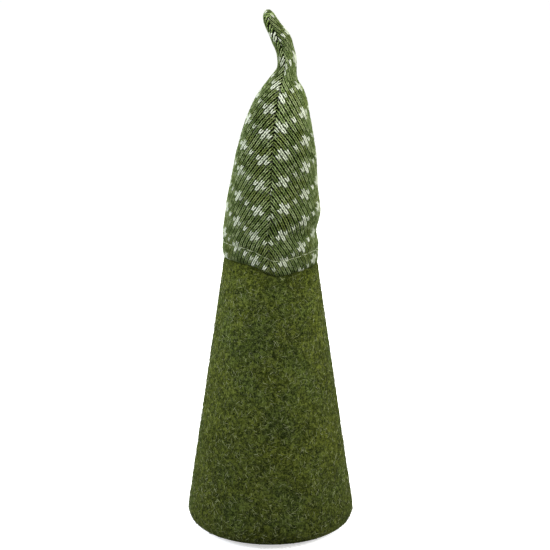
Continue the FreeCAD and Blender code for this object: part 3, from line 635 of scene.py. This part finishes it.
def hat_normal(s, angle):
    up = hat_point(s + 0.25, angle) - hat_point(s - 0.25, angle)
    around = hat_point(s, angle + 0.02) - hat_point(s, angle - 0.02)
    return unit(np.cross(around, up))


# ---------------------------------------------------------------- hat: knitted panel
# On the flat panel u runs across and v up to the tip at v = 0. Wales count from the front,
# courses up from a figure's centre course.
FIGURE_V = -175.8
COURSES_BELOW = int((FIGURE_V + 224.0) / STITCH_H)
COURSES_ABOVE = int((-3.0 - FIGURE_V) / STITCH_H)
# one stitch's path: across, up and out of the fabric
LOOP_POINTS = 12
loop_t = np.arange(LOOP_POINTS + 1) / LOOP_POINTS * TAU
loop_u = STITCH_W * (loop_t / TAU - 0.5 + 0.165 * np.sin(2 * loop_t)
                     + 0.058 * np.sin(loop_t) + 0.010 * np.sin(3 * loop_t))
loop_v = -0.90 * STITCH_H * np.cos(loop_t)
loop_out = STITCH_DEPTH * (1.0 - 2.2 * np.abs(np.cos(loop_t)) ** 3)
ZONES = ("low", "neck", "middle", "tip")
ZONE_Z = (345.0, 357.7, 369.7)  # heights between the zones
# the bodies each bending zone lies between, and where the blend starts and ends (m)
ZONE_BLENDS = {
    "neck": ("root", "hat_neck", (-0.0126, 0, 0.3465), (-0.0128, 0, 0.3575)),
    "middle": ("hat_neck", "hat_middle", (-0.0127, 0, 0.3580), (-0.0121, 0, 0.3690)),
    "tip": ("hat_middle", "hat_tip_end", (-0.0120, 0, 0.3704), (-0.0070, 0, 0.3828)),
}


def cut_shift(v):
    """The panel's cut edges wander a little to one side towards the tip."""
    return np.interp(v, (-104.0, -66.0), (-0.19, 2.7))


def panel_polar(u, v):
    """Distance from the panel's tip and angle off its middle."""
    u = u - cut_shift(v)
    return np.hypot(u, v), np.arctan2(u, -v)


def panel_s(length, spread):
    """Length up the hat for a place on the panel: the cut edges were sewn together out of
    step, and the fabric is pulled longer where it is gathered at the neck."""
    s = PANEL_LENGTH - length
    skew = np.interp(s, (0, 50, 100, 150, 172, S_END), (0.75, -1.03, -2.8, -10.7, -8.6, -5.5))
    return s + skew * spread / PANEL_HALF + np.interp(s, (0, 100, 150), (0, 0, 3.6))


def fabric(u, v, depth):
    """Panel place and depth to a point in space, with its normal, length, angle, height."""
    length, spread = panel_polar(u, v)
    s = panel_s(length, spread)
    z = height_at(s)
    angle = spread * np.pi / PANEL_HALF - seam_drift(z)
    normal = hat_normal(s, angle)
    return hat_point(s, angle) + normal * depth[..., None], normal, s, angle, z


def white(wale, course):
    """Six-stitch figures, half-dropped, with one accent stitch between them."""
    figure, row = divmod(course + 3, 6)
    column = (wale - 3 * ((figure + 1) % 2)) % 6
    if row == 3:
        return column in (5, 0, 1, 3)
    return row in (2, 4) and column == 0


def stitch_key(wale, course, v):
    """(zone, white) of a stitch; None when it lies past the hidden end of the hem."""
    length, spread = panel_polar(wale * STITCH_W, v)
    s = panel_s(length, spread)
    angle = spread * np.pi / PANEL_HALF
    if s < length_at(rim_height(angle) + FOLD) - (math.pi * FOLD + 3.6):
        return None
    z = height_at(s)
    side = "" if z >= ZONE_Z[0] else "_l" if np.sin(angle) > 0 else "_r"
    return ZONES[int(np.searchsorted(ZONE_Z, z))] + side, white(wale, course)


def knit_run(tubes, wales, course, v, is_white):
    """Yarn through neighbouring stitches of one course."""
    u = np.concatenate([wale * STITCH_W + loop_u[:-1] for wale in wales]
                       + [[wales[-1] * STITCH_W + loop_u[-1]]])
    v = v + np.append(np.tile(loop_v[:-1], len(wales)), loop_v[-1])
    out = np.append(np.tile(loop_out[:-1], len(wales)), loop_out[-1])
    tone = np.repeat([(math.sin(wale * 12.9898 + course * 78.233) * 43758.5453) % 1.0
                      for wale in wales], LOOP_POINTS)
    tone = np.append(tone, tone[-1])
    length, spread = panel_polar(u, v)
    s = panel_s(length, spread)
    # stop short of the cut edges and of the tip
    gap = np.interp(PANEL_LENGTH - length, (25, 75, 130, 160), (-0.3, 0.05, 0.22, 0.1))
    keep = (np.abs(spread) * length < PANEL_HALF * length - gap) & (s < S_END - 0.4)
    # yarn thins where the neck is gathered and thickens where the panel is pulled long
    tight = np.clip(np.pi * radius_at(s) / (PANEL_HALF * np.maximum(length, 1.0)), 0.45, 1.12)
    pull = (panel_s(length - 1.0, spread) - panel_s(length + 1.0, spread)) / 2.0
    radius = (YARN_R * np.clip(0.42 + 0.58 * tight, 0.74, 1.08) * np.clip(pull, 0.86, 1.3)
              * (1.12 if is_white else 0.97))
    depth = out * np.clip(tight, 0.6, 1) + 0.14 * (tone - 0.5) + (0.12 if is_white else 0.0)
    points, normals = fabric(u, v, depth)[:2]
    # the depth also sets each stitch's painted shade
    for run in stretches(keep):
        tubes.add(points[run], normals[run], radius[run], tone[run], depth=depth[run])


def float_run(floats, first, last, course, v):
    """The second colour carried behind a course that uses it, left and right apart."""
    u = np.arange(first * STITCH_W, last * STITCH_W + 0.1, STITCH_W / 2)
    depth = -0.25 + 0.1 * np.sin(u * 3.1 + course)
    points, normals, s, angle, z = fabric(u, v - 0.35 * STITCH_H, depth)
    visible = (s > length_at(rim_height(angle) + FOLD) - 2.0) & (z < ZONE_Z[0])
    left = np.sin(angle) > 0
    # painted shade: the floats, lying behind the knit, are drawn mostly dark
    for side, here in (("_l", left), ("_r", ~left)):
        for run in stretches(visible & here):
            floats.setdefault(side, Tubes(5)).add(points[run], normals[run], 0.45, 0.4,
                                                  depth=np.full(len(run), -0.2))


def knit():
    """Every course of the panel, cut where the zone or the colour changes."""
    bank, floats = {}, {}
    for course in range(-COURSES_BELOW, COURSES_ABOVE + 1):
        v = FIGURE_V + course * STITCH_H
        half = -v * math.tan(PANEL_HALF)
        shift = float(cut_shift(v))
        first = math.ceil((shift - half) / STITCH_W - 0.6)
        last = math.floor((shift + half) / STITCH_W + 0.6)
        row = range(first, last + 1)
        for key, wales in groupby(row, lambda wale: stitch_key(wale, course, v)):
            if key is not None:
                knit_run(bank.setdefault(key, Tubes(6)), list(wales), course, v, key[1])
        if (course + 3) % 6 in (2, 3, 4):
            float_run(floats, first, last, course, v)
    return bank, floats


def attach(piece, zone):
    """Let a hat piece follow the bodies its zone lies between."""
    if zone == "low":
        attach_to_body(piece, "root")
    else:
        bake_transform(piece, *ZONE_BLENDS[zone])


bank, floats = knit()
for (zone, is_white), tubes in sorted(bank.items()):
    color, yarn = ("white", yarn_white) if is_white else ("green", yarn_green)
    piece = tubes.make("hat_knit_%s_%s" % (zone, color), yarn)
    attach(piece, zone.split("_")[0])
for side, tubes in floats.items():
    join(tubes.make("hat_floats" + side, yarn_white), "knit_green", "root")

# ---------------------------------------------------------------- hat: shell behind the knit, in painted shade
SHADE_SHELL_WALL = 0.9
shade_shell_turn = np.arange(240) / 240 * TAU


def shade_shell(zone, start, end, depth, rows):
    """The close inner face of the knit, in painted shade: the dark seen between the stitches."""
    share, angle = np.meshgrid(np.linspace(0, 1, rows), shade_shell_turn, indexing="ij")
    s = start + (end - start) * share
    middle, normal = hat_point(s, angle), hat_normal(s, angle)
    verts = np.concatenate([(middle + normal * offset).reshape(-1, 3)
                            for offset in (depth, depth - SHADE_SHELL_WALL)])
    attributes = {key: np.full(len(verts), value)
                  for key, value in (("yl", 0.0), ("ya", 0.0), ("yr", 0.4), ("yd", 1.0))}
    # painted shade, darker in the low zone than in the zones above
    piece = write_mesh("hat_shade_shell_" + zone, verts, shell_faces(rows, rows, len(shade_shell_turn)),
                       yarn_shade_dark if zone == "low" else yarn_shade_mid, attributes)
    attach(piece, zone)


# neighbouring shells overlap a little
shade_shell("low", rim_start(shade_shell_turn) - (math.pi * FOLD + HEM + 1.0), length_at(346.0),
       depth=-0.9, rows=190)
shade_shell("neck", length_at(345.8), length_at(357.9), depth=-0.75, rows=24)
shade_shell("middle", length_at(357.7), length_at(369.9), depth=-0.75, rows=24)
shade_shell("tip", length_at(369.7), S_END - 1.5, depth=-0.75, rows=50)
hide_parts("hat_shell", "hat_hem")
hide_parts("hat_neck_tube")
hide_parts("hat_middle_tube")
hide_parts("hat_tip")


# ---------------------------------------------------------------- hat: hairs and threads
def curl(heading, bend, length):
    """Centred offsets, across and along, of a bent fibre with five points."""
    heading = heading + bend * np.linspace(-0.5, 0.5, 5)
    across = np.cumsum(np.cos(heading), -1) * length / 5
    along = np.cumsum(np.sin(heading), -1) * length / 5
    return (across - across.mean(-1, keepdims=True), along - along.mean(-1, keepdims=True))


def hat_hairs(tries=9000, limit=900):
    """Loose hairs of the yarn, lying over the stitches."""
    draw = np.random.default_rng(21)
    s = draw.uniform(-4.0, length_at(341.0), tries)
    angle = draw.uniform(-np.pi, np.pi, tries)
    # fewer where the hat is narrow
    keep = (draw.uniform(0, 1, tries) < radius_at(s) / 37.0) & (s > rim_start(angle) + 2.0)
    s, angle = s[keep][:limit, None], angle[keep][:limit, None]
    count = len(s)
    length = draw.uniform(2.0, 6.0, count)[:, None]
    heading = draw.uniform(0, TAU, count)[:, None]
    across, along = curl(heading, draw.normal(0, 1.0, count)[:, None], length)
    loft = draw.uniform(0.0, 1.0, count)[:, None] ** 2 * 1.1
    arch = np.linspace(0.1, 1.0, 5)[None] * draw.uniform(1.5, 3.0, count)[:, None]
    height = 1.0 + loft * np.sin(arch)
    hair_s, hair_angle = s + along, angle + across / radius_at(s)
    normals = hat_normal(hair_s, hair_angle)
    points = hat_point(hair_s, hair_angle) + normals * height[..., None]
    radius, tone = draw.uniform(0.03, 0.06, count), draw.uniform(0, 1, count)
    tubes = Tubes(3)
    for i in range(count):
        tubes.add(points[i], normals[i], radius[i], tone[i])
    hair = yarn_mat("hat_hair", (72, 88, 42), (124, 138, 90), (196, 204, 176),
                    plies=1, pitch=9.0, sheen=0.2, speck=0.0, bump=0.0)
    join(tubes.make("hat_hairs", hair), "knit_green", "root")


def hem_stitching(hem_r=35.0, pitch=6.3):
    """A thin light thread that dips in and out at the top of the hem."""
    angle = np.arange(-math.pi, math.pi, 0.010)
    s = rim_start(angle) + HEM + 0.5 * np.sin(angle * 3 + 1) + 0.25 * np.sin(angle * 23)
    stitch = (angle * hem_r / pitch) % 1.0
    depth = 0.95 + 0.25 * np.sin(stitch * TAU) - 1.7 * bell(stitch - 0.5, 0.13)
    normal = hat_normal(s, angle)
    tubes = Tubes(6)
    tubes.add(hat_point(s, angle) + normal * depth[:, None], normal, 0.25)
    join(tubes.make("hem_stitching", thread_light), "light_thread", "root", "hem_stitch_thread")


def tip_gathering():
    """Two turns of yarn drawn round the end of the tip to close it."""
    tubes = Tubes(8)
    for k in range(2):
        angle = np.linspace(0, TAU, 40)
        s = S_END - 4.6 - 1.1 * k + 0.3 * np.sin(angle + k)
        normal = hat_normal(s, angle)
        tubes.add(hat_point(s, angle) + normal * 0.45, normal, 0.4)
    join(tubes.make("tip_gathering", yarn_green), "green_thread", "hat_tip_end",
         "tip_gather_thread")


hat_hairs()
hem_stitching()
tip_gathering()

# ---------------------------------------------------------------- felt body
SIDE_R, SIDE_Z = 64.97, 15.5  # foot of the side
SLOPE = 0.1496                # radius lost per mm of height
CORNER_X, CORNER_R = 53.35, 11.75  # centre radius and radius of the bottom corner
CORNER_Z = 13.75
BASE_Z = 2.05
FELT_WALL = 1.7
FELT_COLUMNS = 304


def cone_r(z):
    return SIDE_R - SLOPE * (z - SIDE_Z)


def felt_profile():
    """(radius, height) from inside the bottom hem, round the corner, up the side."""
    points = [(37.0, 4.6), (36.2, 3.6), (36.4, 2.6), (37.6, 2.1)]
    points += [(r, BASE_Z) for r in np.arange(39, CORNER_X, 1.3)]
    end = math.atan2(SIDE_Z - CORNER_Z, SIDE_R - CORNER_X)
    points += [(CORNER_X + CORNER_R * math.cos(a), BASE_Z + CORNER_R + CORNER_R * math.sin(a))
               for a in np.linspace(-math.pi / 2, end, 20)]
    points += [(cone_r(z), z) for z in np.arange(17.0, 238.0, 0.95)]
    return np.array(points)


def grain(points, scale, shift=(0, 0, 0)):
    places = (points.reshape(-1, 3) * scale + shift).tolist()
    return np.array([noise.noise(Vector(place)) for place in places])


def felt_body():
    profile = felt_profile()
    rows = len(profile)
    radius, z, angle = np.broadcast_arrays(profile[:, :1], profile[:, 1:],
                                           np.arange(FELT_COLUMNS) / FELT_COLUMNS * TAU)
    rim = rim_height(angle)
    # the hat's rim presses the felt in, and it swells a little just below
    inner = np.interp(z, hat_z, hat_r) - 2.9 - 2 * FOLD * 0.55
    pressed = ease((z - (rim - 2.2)) / 5.0)
    radius = radius * (1 - pressed) + np.minimum(radius, inner) * pressed
    radius = radius + 0.35 * bell(z - (rim - 4.0), 3.0) * (z > 30)
    middle = np.interp(z, hat_z, hat_x) * pressed
    points = np.stack([radius * np.sin(angle) + middle, -radius * np.cos(angle), z], -1)
    # uneven surface, fading out at the bottom
    relief = (0.28 * grain(points, 0.06) + 0.14 * grain(points, 0.30, (9, 0, 0))
              + 0.20 * grain(points, 0.85, (0, 5, 0)))
    relief = relief.reshape(z.shape) * np.clip((z - 2.2) / 6.0, 0.0, 1)
    tangent = unit(np.gradient(profile, axis=0))
    out = tangent[:, 1:]
    normal = unit(np.stack([np.sin(angle) * out, -np.cos(angle) * out,
                            np.repeat(-tangent[:, :1], FELT_COLUMNS, 1)], -1))
    points = points + normal * relief[..., None]
    # painted shadow under the hat's rim: full at the rim, fading out over about 5.5 mm below it
    rim_shadow = np.exp(-np.clip(rim - 1.0 - z, 0, None) / 5.5)
    # the inner side is coarser above the corner
    kept = np.unique(np.concatenate([np.arange(0, 44, 2), np.arange(44, rows, 9), [rows - 1]]))
    inside = (points - normal * FELT_WALL)[kept]
    piece = write_mesh("felt_body",
                       np.concatenate([points.reshape(-1, 3), inside.reshape(-1, 3)]),
                       shell_faces(rows, len(kept), FELT_COLUMNS), felt_green,
                       {"rim_shadow": np.concatenate([rim_shadow.ravel(), rim_shadow[kept].ravel()])})
    join(piece, "felt_green", "root", "felt_sleeve")


def felt_fibres(count=11000):
    """Short wool fibres standing off the felt, dealt into two meshes."""
    draw = np.random.default_rng(7)
    banks = (Tubes(3), Tubes(3))
    tones = draw.uniform(0, 1, count)
    falls = draw.uniform(0, 1, count) ** 0.85
    for i in range(count):
        z = 4.0 + (1 - falls[i]) * 214.0
        angle = draw.uniform(0, TAU)
        if z > rim_height(angle) - 1.5:
            continue
        if z < SIDE_Z:
            radius = CORNER_X + math.sqrt(max(CORNER_R ** 2 - (z - CORNER_Z) ** 2, 0))
            out, up = (radius - CORNER_X) / CORNER_R, (z - CORNER_Z) / CORNER_R
        else:
            radius = cone_r(z)
            out, up = 0.989, 0.148
        heading = draw.uniform(0, TAU)
        length = draw.uniform(2.0, 5.5)
        across, along = curl(heading, draw.normal(0, 0.9), length)
        loft = draw.uniform(0.0, 0.35)
        lift = 0.12 + loft * np.sin(np.linspace(0.1, draw.uniform(1.5, 3.0), 5))
        turn = angle + across / radius
        reach = radius - up * along + out * lift
        points = np.stack([reach * np.sin(turn), -reach * np.cos(turn),
                           z + out * along + up * lift], -1)
        normals = np.stack([np.sin(turn) * out, -np.cos(turn) * out, np.full(5, up)], -1)
        banks[i % 2].add(points, normals, draw.uniform(0.05, 0.12), tones[i])
    fibre = yarn_mat("felt_fibre", (34, 44, 8), (88, 97, 50), (158, 164, 124),
                     plies=1, pitch=9.0, sheen=0.3, speck=0.0, bump=0.0)
    for tubes, name in zip(banks, ("felt_fibres_a", "felt_fibres_b")):
        join(tubes.make(name, fibre), "felt_green", "root")


def front_stitches(count=15, first_z=21.5, pitch=5.93):
    """Closing stitches up the middle of the front, ends sunk in the felt."""
    tubes = Tubes(8)
    share = np.linspace(-1, 1, 9)
    for i in range(count):
        z = first_z + pitch * i
        x = share * 2.5 + 0.2 * math.sin(i * 5.1)
        radius = cone_r(z) + (0.42 - 1.1 * np.abs(share) ** 5)
        path = np.stack([x, -np.sqrt(np.maximum(radius ** 2 - x ** 2, 1)),
                         z + 0.6 * math.sin(i * 2.3) * share], -1)
        tubes.add(path, np.repeat([[0, -1.0, 0.15]], 9, 0), 0.4, (i * 0.37) % 1)
    join(tubes.make("front_seam_stitches", thread_green), "green_thread", "root",
         "sleeve_seam_thread")


felt_body()
felt_fibres()
front_stitches()

# ---------------------------------------------------------------- nose
NOSE_R = 11.0
NOSE_CENTRE = np.array([0.0, -47.3, 216.0])


def nose(rows=48, columns=72):
    """A slightly uneven ball with its poles along Y."""
    polar, around = np.meshgrid(np.linspace(0.02, math.pi - 0.02, rows),
                                np.arange(columns) / columns * TAU, indexing="ij")
    radius = NOSE_R * (1 - 0.012 * np.cos(2 * polar)
                       - 0.006 * np.cos(3 * around) * np.sin(polar))
    points = np.stack([radius * np.sin(polar) * np.cos(around), radius * np.cos(polar),
                       radius * np.sin(polar) * np.sin(around)], -1)
    pole = NOSE_R * 0.985
    verts = np.concatenate([points.reshape(-1, 3), [[0, pole, 0], [0, -pole, 0]]])
    j = np.arange(columns)
    after = (j + 1) % columns
    total, last = rows * columns, (rows - 1) * columns
    faces = [grid_faces(rows, columns),
             np.stack([after, j, np.full(columns, total)], -1),
             np.stack([last + j, last + after, np.full(columns, total + 1)], -1)]
    piece = write_mesh("nose", verts + NOSE_CENTRE, faces, SLOTS["birch"])
    join(piece, "birch", "root", "nose_ball")


nose()

# ---------------------------------------------------------------- beard
# name, locks, how far they stand out, thickness, half spread in degrees, share of the
# spread kept at the ends, range the ends vary over
BEARD_LAYERS = (
    ("beard_locks_under", 54, 2.4, 2.3, 36.5, 1.02, (-4.0, 3.0)),
    ("beard_locks_middle", 48, 4.6, 2.1, 33.0, 0.98, (-1.0, 8.0)),
    ("beard_locks_top", 40, 6.6, 1.9, 28.0, 0.92, (-1.0, 8.0)),
)
wool = yarn_mat("beard_wool_locks", (226, 221, 206), (243, 240, 230), (252, 250, 244),
                plies=7, pitch=11.0, sheen=0.3, shade=0.66)


def lock(tubes, angle, end_angle, end_z, thick, lift, wave, seed, count=40):
    """One lock of wool from under the brim at an angle down to (end_angle, end_z)."""
    draw = np.random.default_rng(seed)
    share = np.linspace(0, 1, count)
    top = float(rim_height(angle)) + 1.5
    z = top + (end_z - top) * share
    phase, waves = draw.uniform(0, 6.28), draw.uniform(2.6, 4.6) * (top - end_z) / 90.0
    swing = share * waves * TAU + phase
    grow = ease((top - z) / 30.0)
    sideways = wave * np.sin(swing) * grow
    over = 0.5 * wave * np.cos(swing + 0.6) * grow
    # starts under the brim, stands out, then falls back towards its end
    rise = ease((top + 1.0 - z) / 26.0) * (1 - 0.45 * ease((share - 0.55) / 0.45))
    out = -1.2 + (lift + 1.2) * rise
    radius = cone_r(z) + out + over
    fan = ease((top - z) / 40.0)
    turn = angle + (end_angle - angle) * fan * share ** 0.7 + sideways / radius
    path = np.stack([radius * np.sin(turn), -radius * np.cos(turn), z], -1)
    normal = np.stack([np.sin(turn), -np.cos(turn), np.full(count, 0.15)], -1)
    taper = np.clip(1 - share ** 4, 0, 1) ** 0.6
    width = thick * (0.35 + 0.65 * ease((top - z) / 18.0)) * taper + 0.06
    # painted shade: wool lying back near the felt is drawn darker
    tubes.add(path, normal, width, draw.uniform(0, 1), flat=0.7, depth=out + over,
              low=-3.0, high=lift + 0.6)


def beard_end(x):
    """Height of the beard's lower edge, x from -1 to 1 across it."""
    return 113.0 + 40.0 * abs(x) ** 2.5


def make_beard(tubes, name):
    piece = tubes.make(name, wool)
    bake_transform(piece, "root", "beard", (0, -0.0378, 0.2075), (0, -0.0378, 0.1945))
    return piece


def beard_locks():
    seed = 1000
    for name, count, lift, thick, spread, kept, end_range in BEARD_LAYERS:
        tubes = Tubes(8)
        for i in range(count):
            seed += 1
            draw = np.random.default_rng(seed)
            x = (i + 0.5) / count * 2 - 1
            lock(tubes,
                 angle=math.radians(spread) * x + draw.normal(0, 0.015),
                 end_angle=math.radians(spread * kept) * x + draw.normal(0, 0.02),
                 end_z=beard_end(x) + draw.uniform(*end_range) + 3 * (lift - 2.4),
                 thick=thick * draw.uniform(0.75, 1.15),
                 lift=lift * (1 - 0.25 * x * x),
                 wave=draw.uniform(0.7, 1.7), seed=seed)
        piece = make_beard(tubes, name)
    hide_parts("beard_pile")


def beard_strands():
    tubes = Tubes(4)
    for seed in range(5000, 5600):
        draw = np.random.default_rng(seed)
        x = draw.uniform(-1, 1)
        lock(tubes,
             angle=math.radians(36.0) * x,
             end_angle=math.radians(34.5) * x + draw.normal(0, 0.035),
             end_z=beard_end(x) + draw.uniform(-2.0, 26.0),
             thick=draw.uniform(0.22, 0.5),
             lift=draw.uniform(5.0, 9.6) * (1 - 0.3 * x * x),
             wave=draw.uniform(0.8, 2.2), seed=seed, count=34)
    make_beard(tubes, "beard_strands")


def beard_cloth(rows=90, columns=60, top=202.0, bottom=118.5):
    """Cloth the wool is set in, with a soft outline."""
    share, x = np.meshgrid(np.linspace(0, 1, rows), np.linspace(-1, 1, columns), indexing="ij")
    angle = x * (np.radians(34.0) * np.clip(1 - share ** 4.5, 0.02, 1) ** 0.55)
    z = top - (top - bottom) * share
    verts = []
    for offset in (1.85, 0.7):  # outer and inner side, off the felt
        radius = cone_r(z) + offset + 0.25 * np.sin(z * 0.35) * np.cos(angle * 5)
        side = np.stack([radius * np.sin(angle), -radius * np.cos(angle), z], -1)
        verts.append(side.reshape(-1, 3))
    back = rows * columns

    def edge(a, b):
        return np.stack([back + a, back + b, b, a], -1)

    low_x = np.arange(rows - 1) * columns
    high_x = low_x + columns - 1
    upper = np.arange(columns - 1)
    lower = upper + (rows - 1) * columns
    faces = [grid_faces(rows, columns, False)[:, ::-1], grid_faces(rows, columns, False, back),
             edge(low_x + columns, low_x), edge(high_x, high_x + columns),
             edge(upper, upper + 1), edge(lower + 1, lower)]
    piece = write_mesh("beard_cloth_sheet", np.concatenate(verts), faces, SLOTS["beard_cloth"])
    join(piece, "beard_cloth", "beard", "beard_backing")


beard_locks()
beard_strands()
beard_cloth()


# ---------------------------------------------------------------- floor, light, camera
def make_floor():
    bpy.ops.mesh.primitive_plane_add(size=60.0, location=(0, 0, -0.0002))
    floor = bpy.context.object
    floor.name = "floor"
    M = Mat("floor_pale")
    color = M.fade(M.noise(scale=3.0, detail=2.0), 0.3, 0.7,
                   (0.90, 0.90, 0.895, 1), (0.92, 0.92, 0.915, 1))
    M.done(color, rough=0.95, spec=0.05)
    M.link(color, M.shader.inputs["Emission Color"])
    M.shader.inputs["Emission Strength"].default_value = 0.6
    # the camera sees a pale floor, but little light is thrown back at the gnome
    dull = M.node("ShaderNodeBsdfDiffuse", Color=grey(0.22))
    select = M.node("ShaderNodeMixShader")
    is_camera = M.node("ShaderNodeLightPath").outputs["Is Camera Ray"]
    M.feed(select, ((0, is_camera), (1, dull.outputs[0]), (2, M.shader.outputs[0])))
    M.link(select.outputs[0], M.tree.nodes["Material Output"].inputs["Surface"])
    floor.data.materials.append(M.material)


def make_world(seen=1.0, lighting=0.52):
    """White all round: one strength for the camera, a lower one for lighting."""
    world = bpy.data.worlds.new("studio")
    world.use_nodes = True
    nodes, links = world.node_tree.nodes, world.node_tree.links
    background = nodes["Background"]
    room = nodes.new("ShaderNodeBackground")
    for shader, strength in ((background, seen), (room, lighting)):
        shader.inputs[0].default_value = (1.0, 1.0, 1.0, 1)
        shader.inputs[1].default_value = strength
    select = nodes.new("ShaderNodeMixShader")
    path = nodes.new("ShaderNodeLightPath")
    links.new(path.outputs["Is Camera Ray"], select.inputs[0])
    links.new(room.outputs[0], select.inputs[1])
    links.new(background.outputs[0], select.inputs[2])
    links.new(select.outputs[0], nodes["World Output"].inputs["Surface"])
    bpy.context.scene.world = world


def area(name, place, target_z, size, power, color=(1, 1, 1)):
    """A square light aimed at a height on the Z axis."""
    light = bpy.data.lights.new(name, "AREA")
    light.shape, light.size, light.energy, light.color = "SQUARE", size, power, color
    holder = bpy.data.objects.new(name, light)
    holder.location = place
    aim = Vector((0, 0, target_z)) - Vector(place)
    holder.rotation_euler = aim.to_track_quat("-Z", "Y").to_euler()
    bpy.context.scene.collection.objects.link(holder)


def make_camera():
    """Behind the gnome, looking 11.94 degrees down."""
    camera = bpy.data.cameras.new("camera")
    camera.sensor_width = 36.0
    camera.lens = 91.3745455
    holder = bpy.data.objects.new("camera", camera)
    holder.location = (-0.0035, 1.050, 0.4216)
    holder.rotation_euler = (math.radians(90 - 11.94), 0, math.radians(180))
    bpy.context.scene.collection.objects.link(holder)
    bpy.context.scene.camera = holder


make_floor()
make_world()
area("soft_left", (1.25, 0.20, 0.80), target_z=0.25, size=0.7, power=26, color=(0.95, 1.0, 1.10))
area("soft_right", (-1.20, 0.36, 0.85), target_z=0.25, size=0.7, power=25)
area("soft_camera", (0.1, 1.2, 1.3), target_z=0.32, size=0.7, power=2.5)
area("soft_front", (0.0, -1.3, 1.0), target_z=0.2, size=1.0, power=22, color=(1.0, 0.98, 0.94))
area("soft_top", (0.0, 0.0, 1.7), target_z=0.2, size=1.2, power=12)
make_camera()
bpy.context.scene.view_settings.view_transform = "Standard"
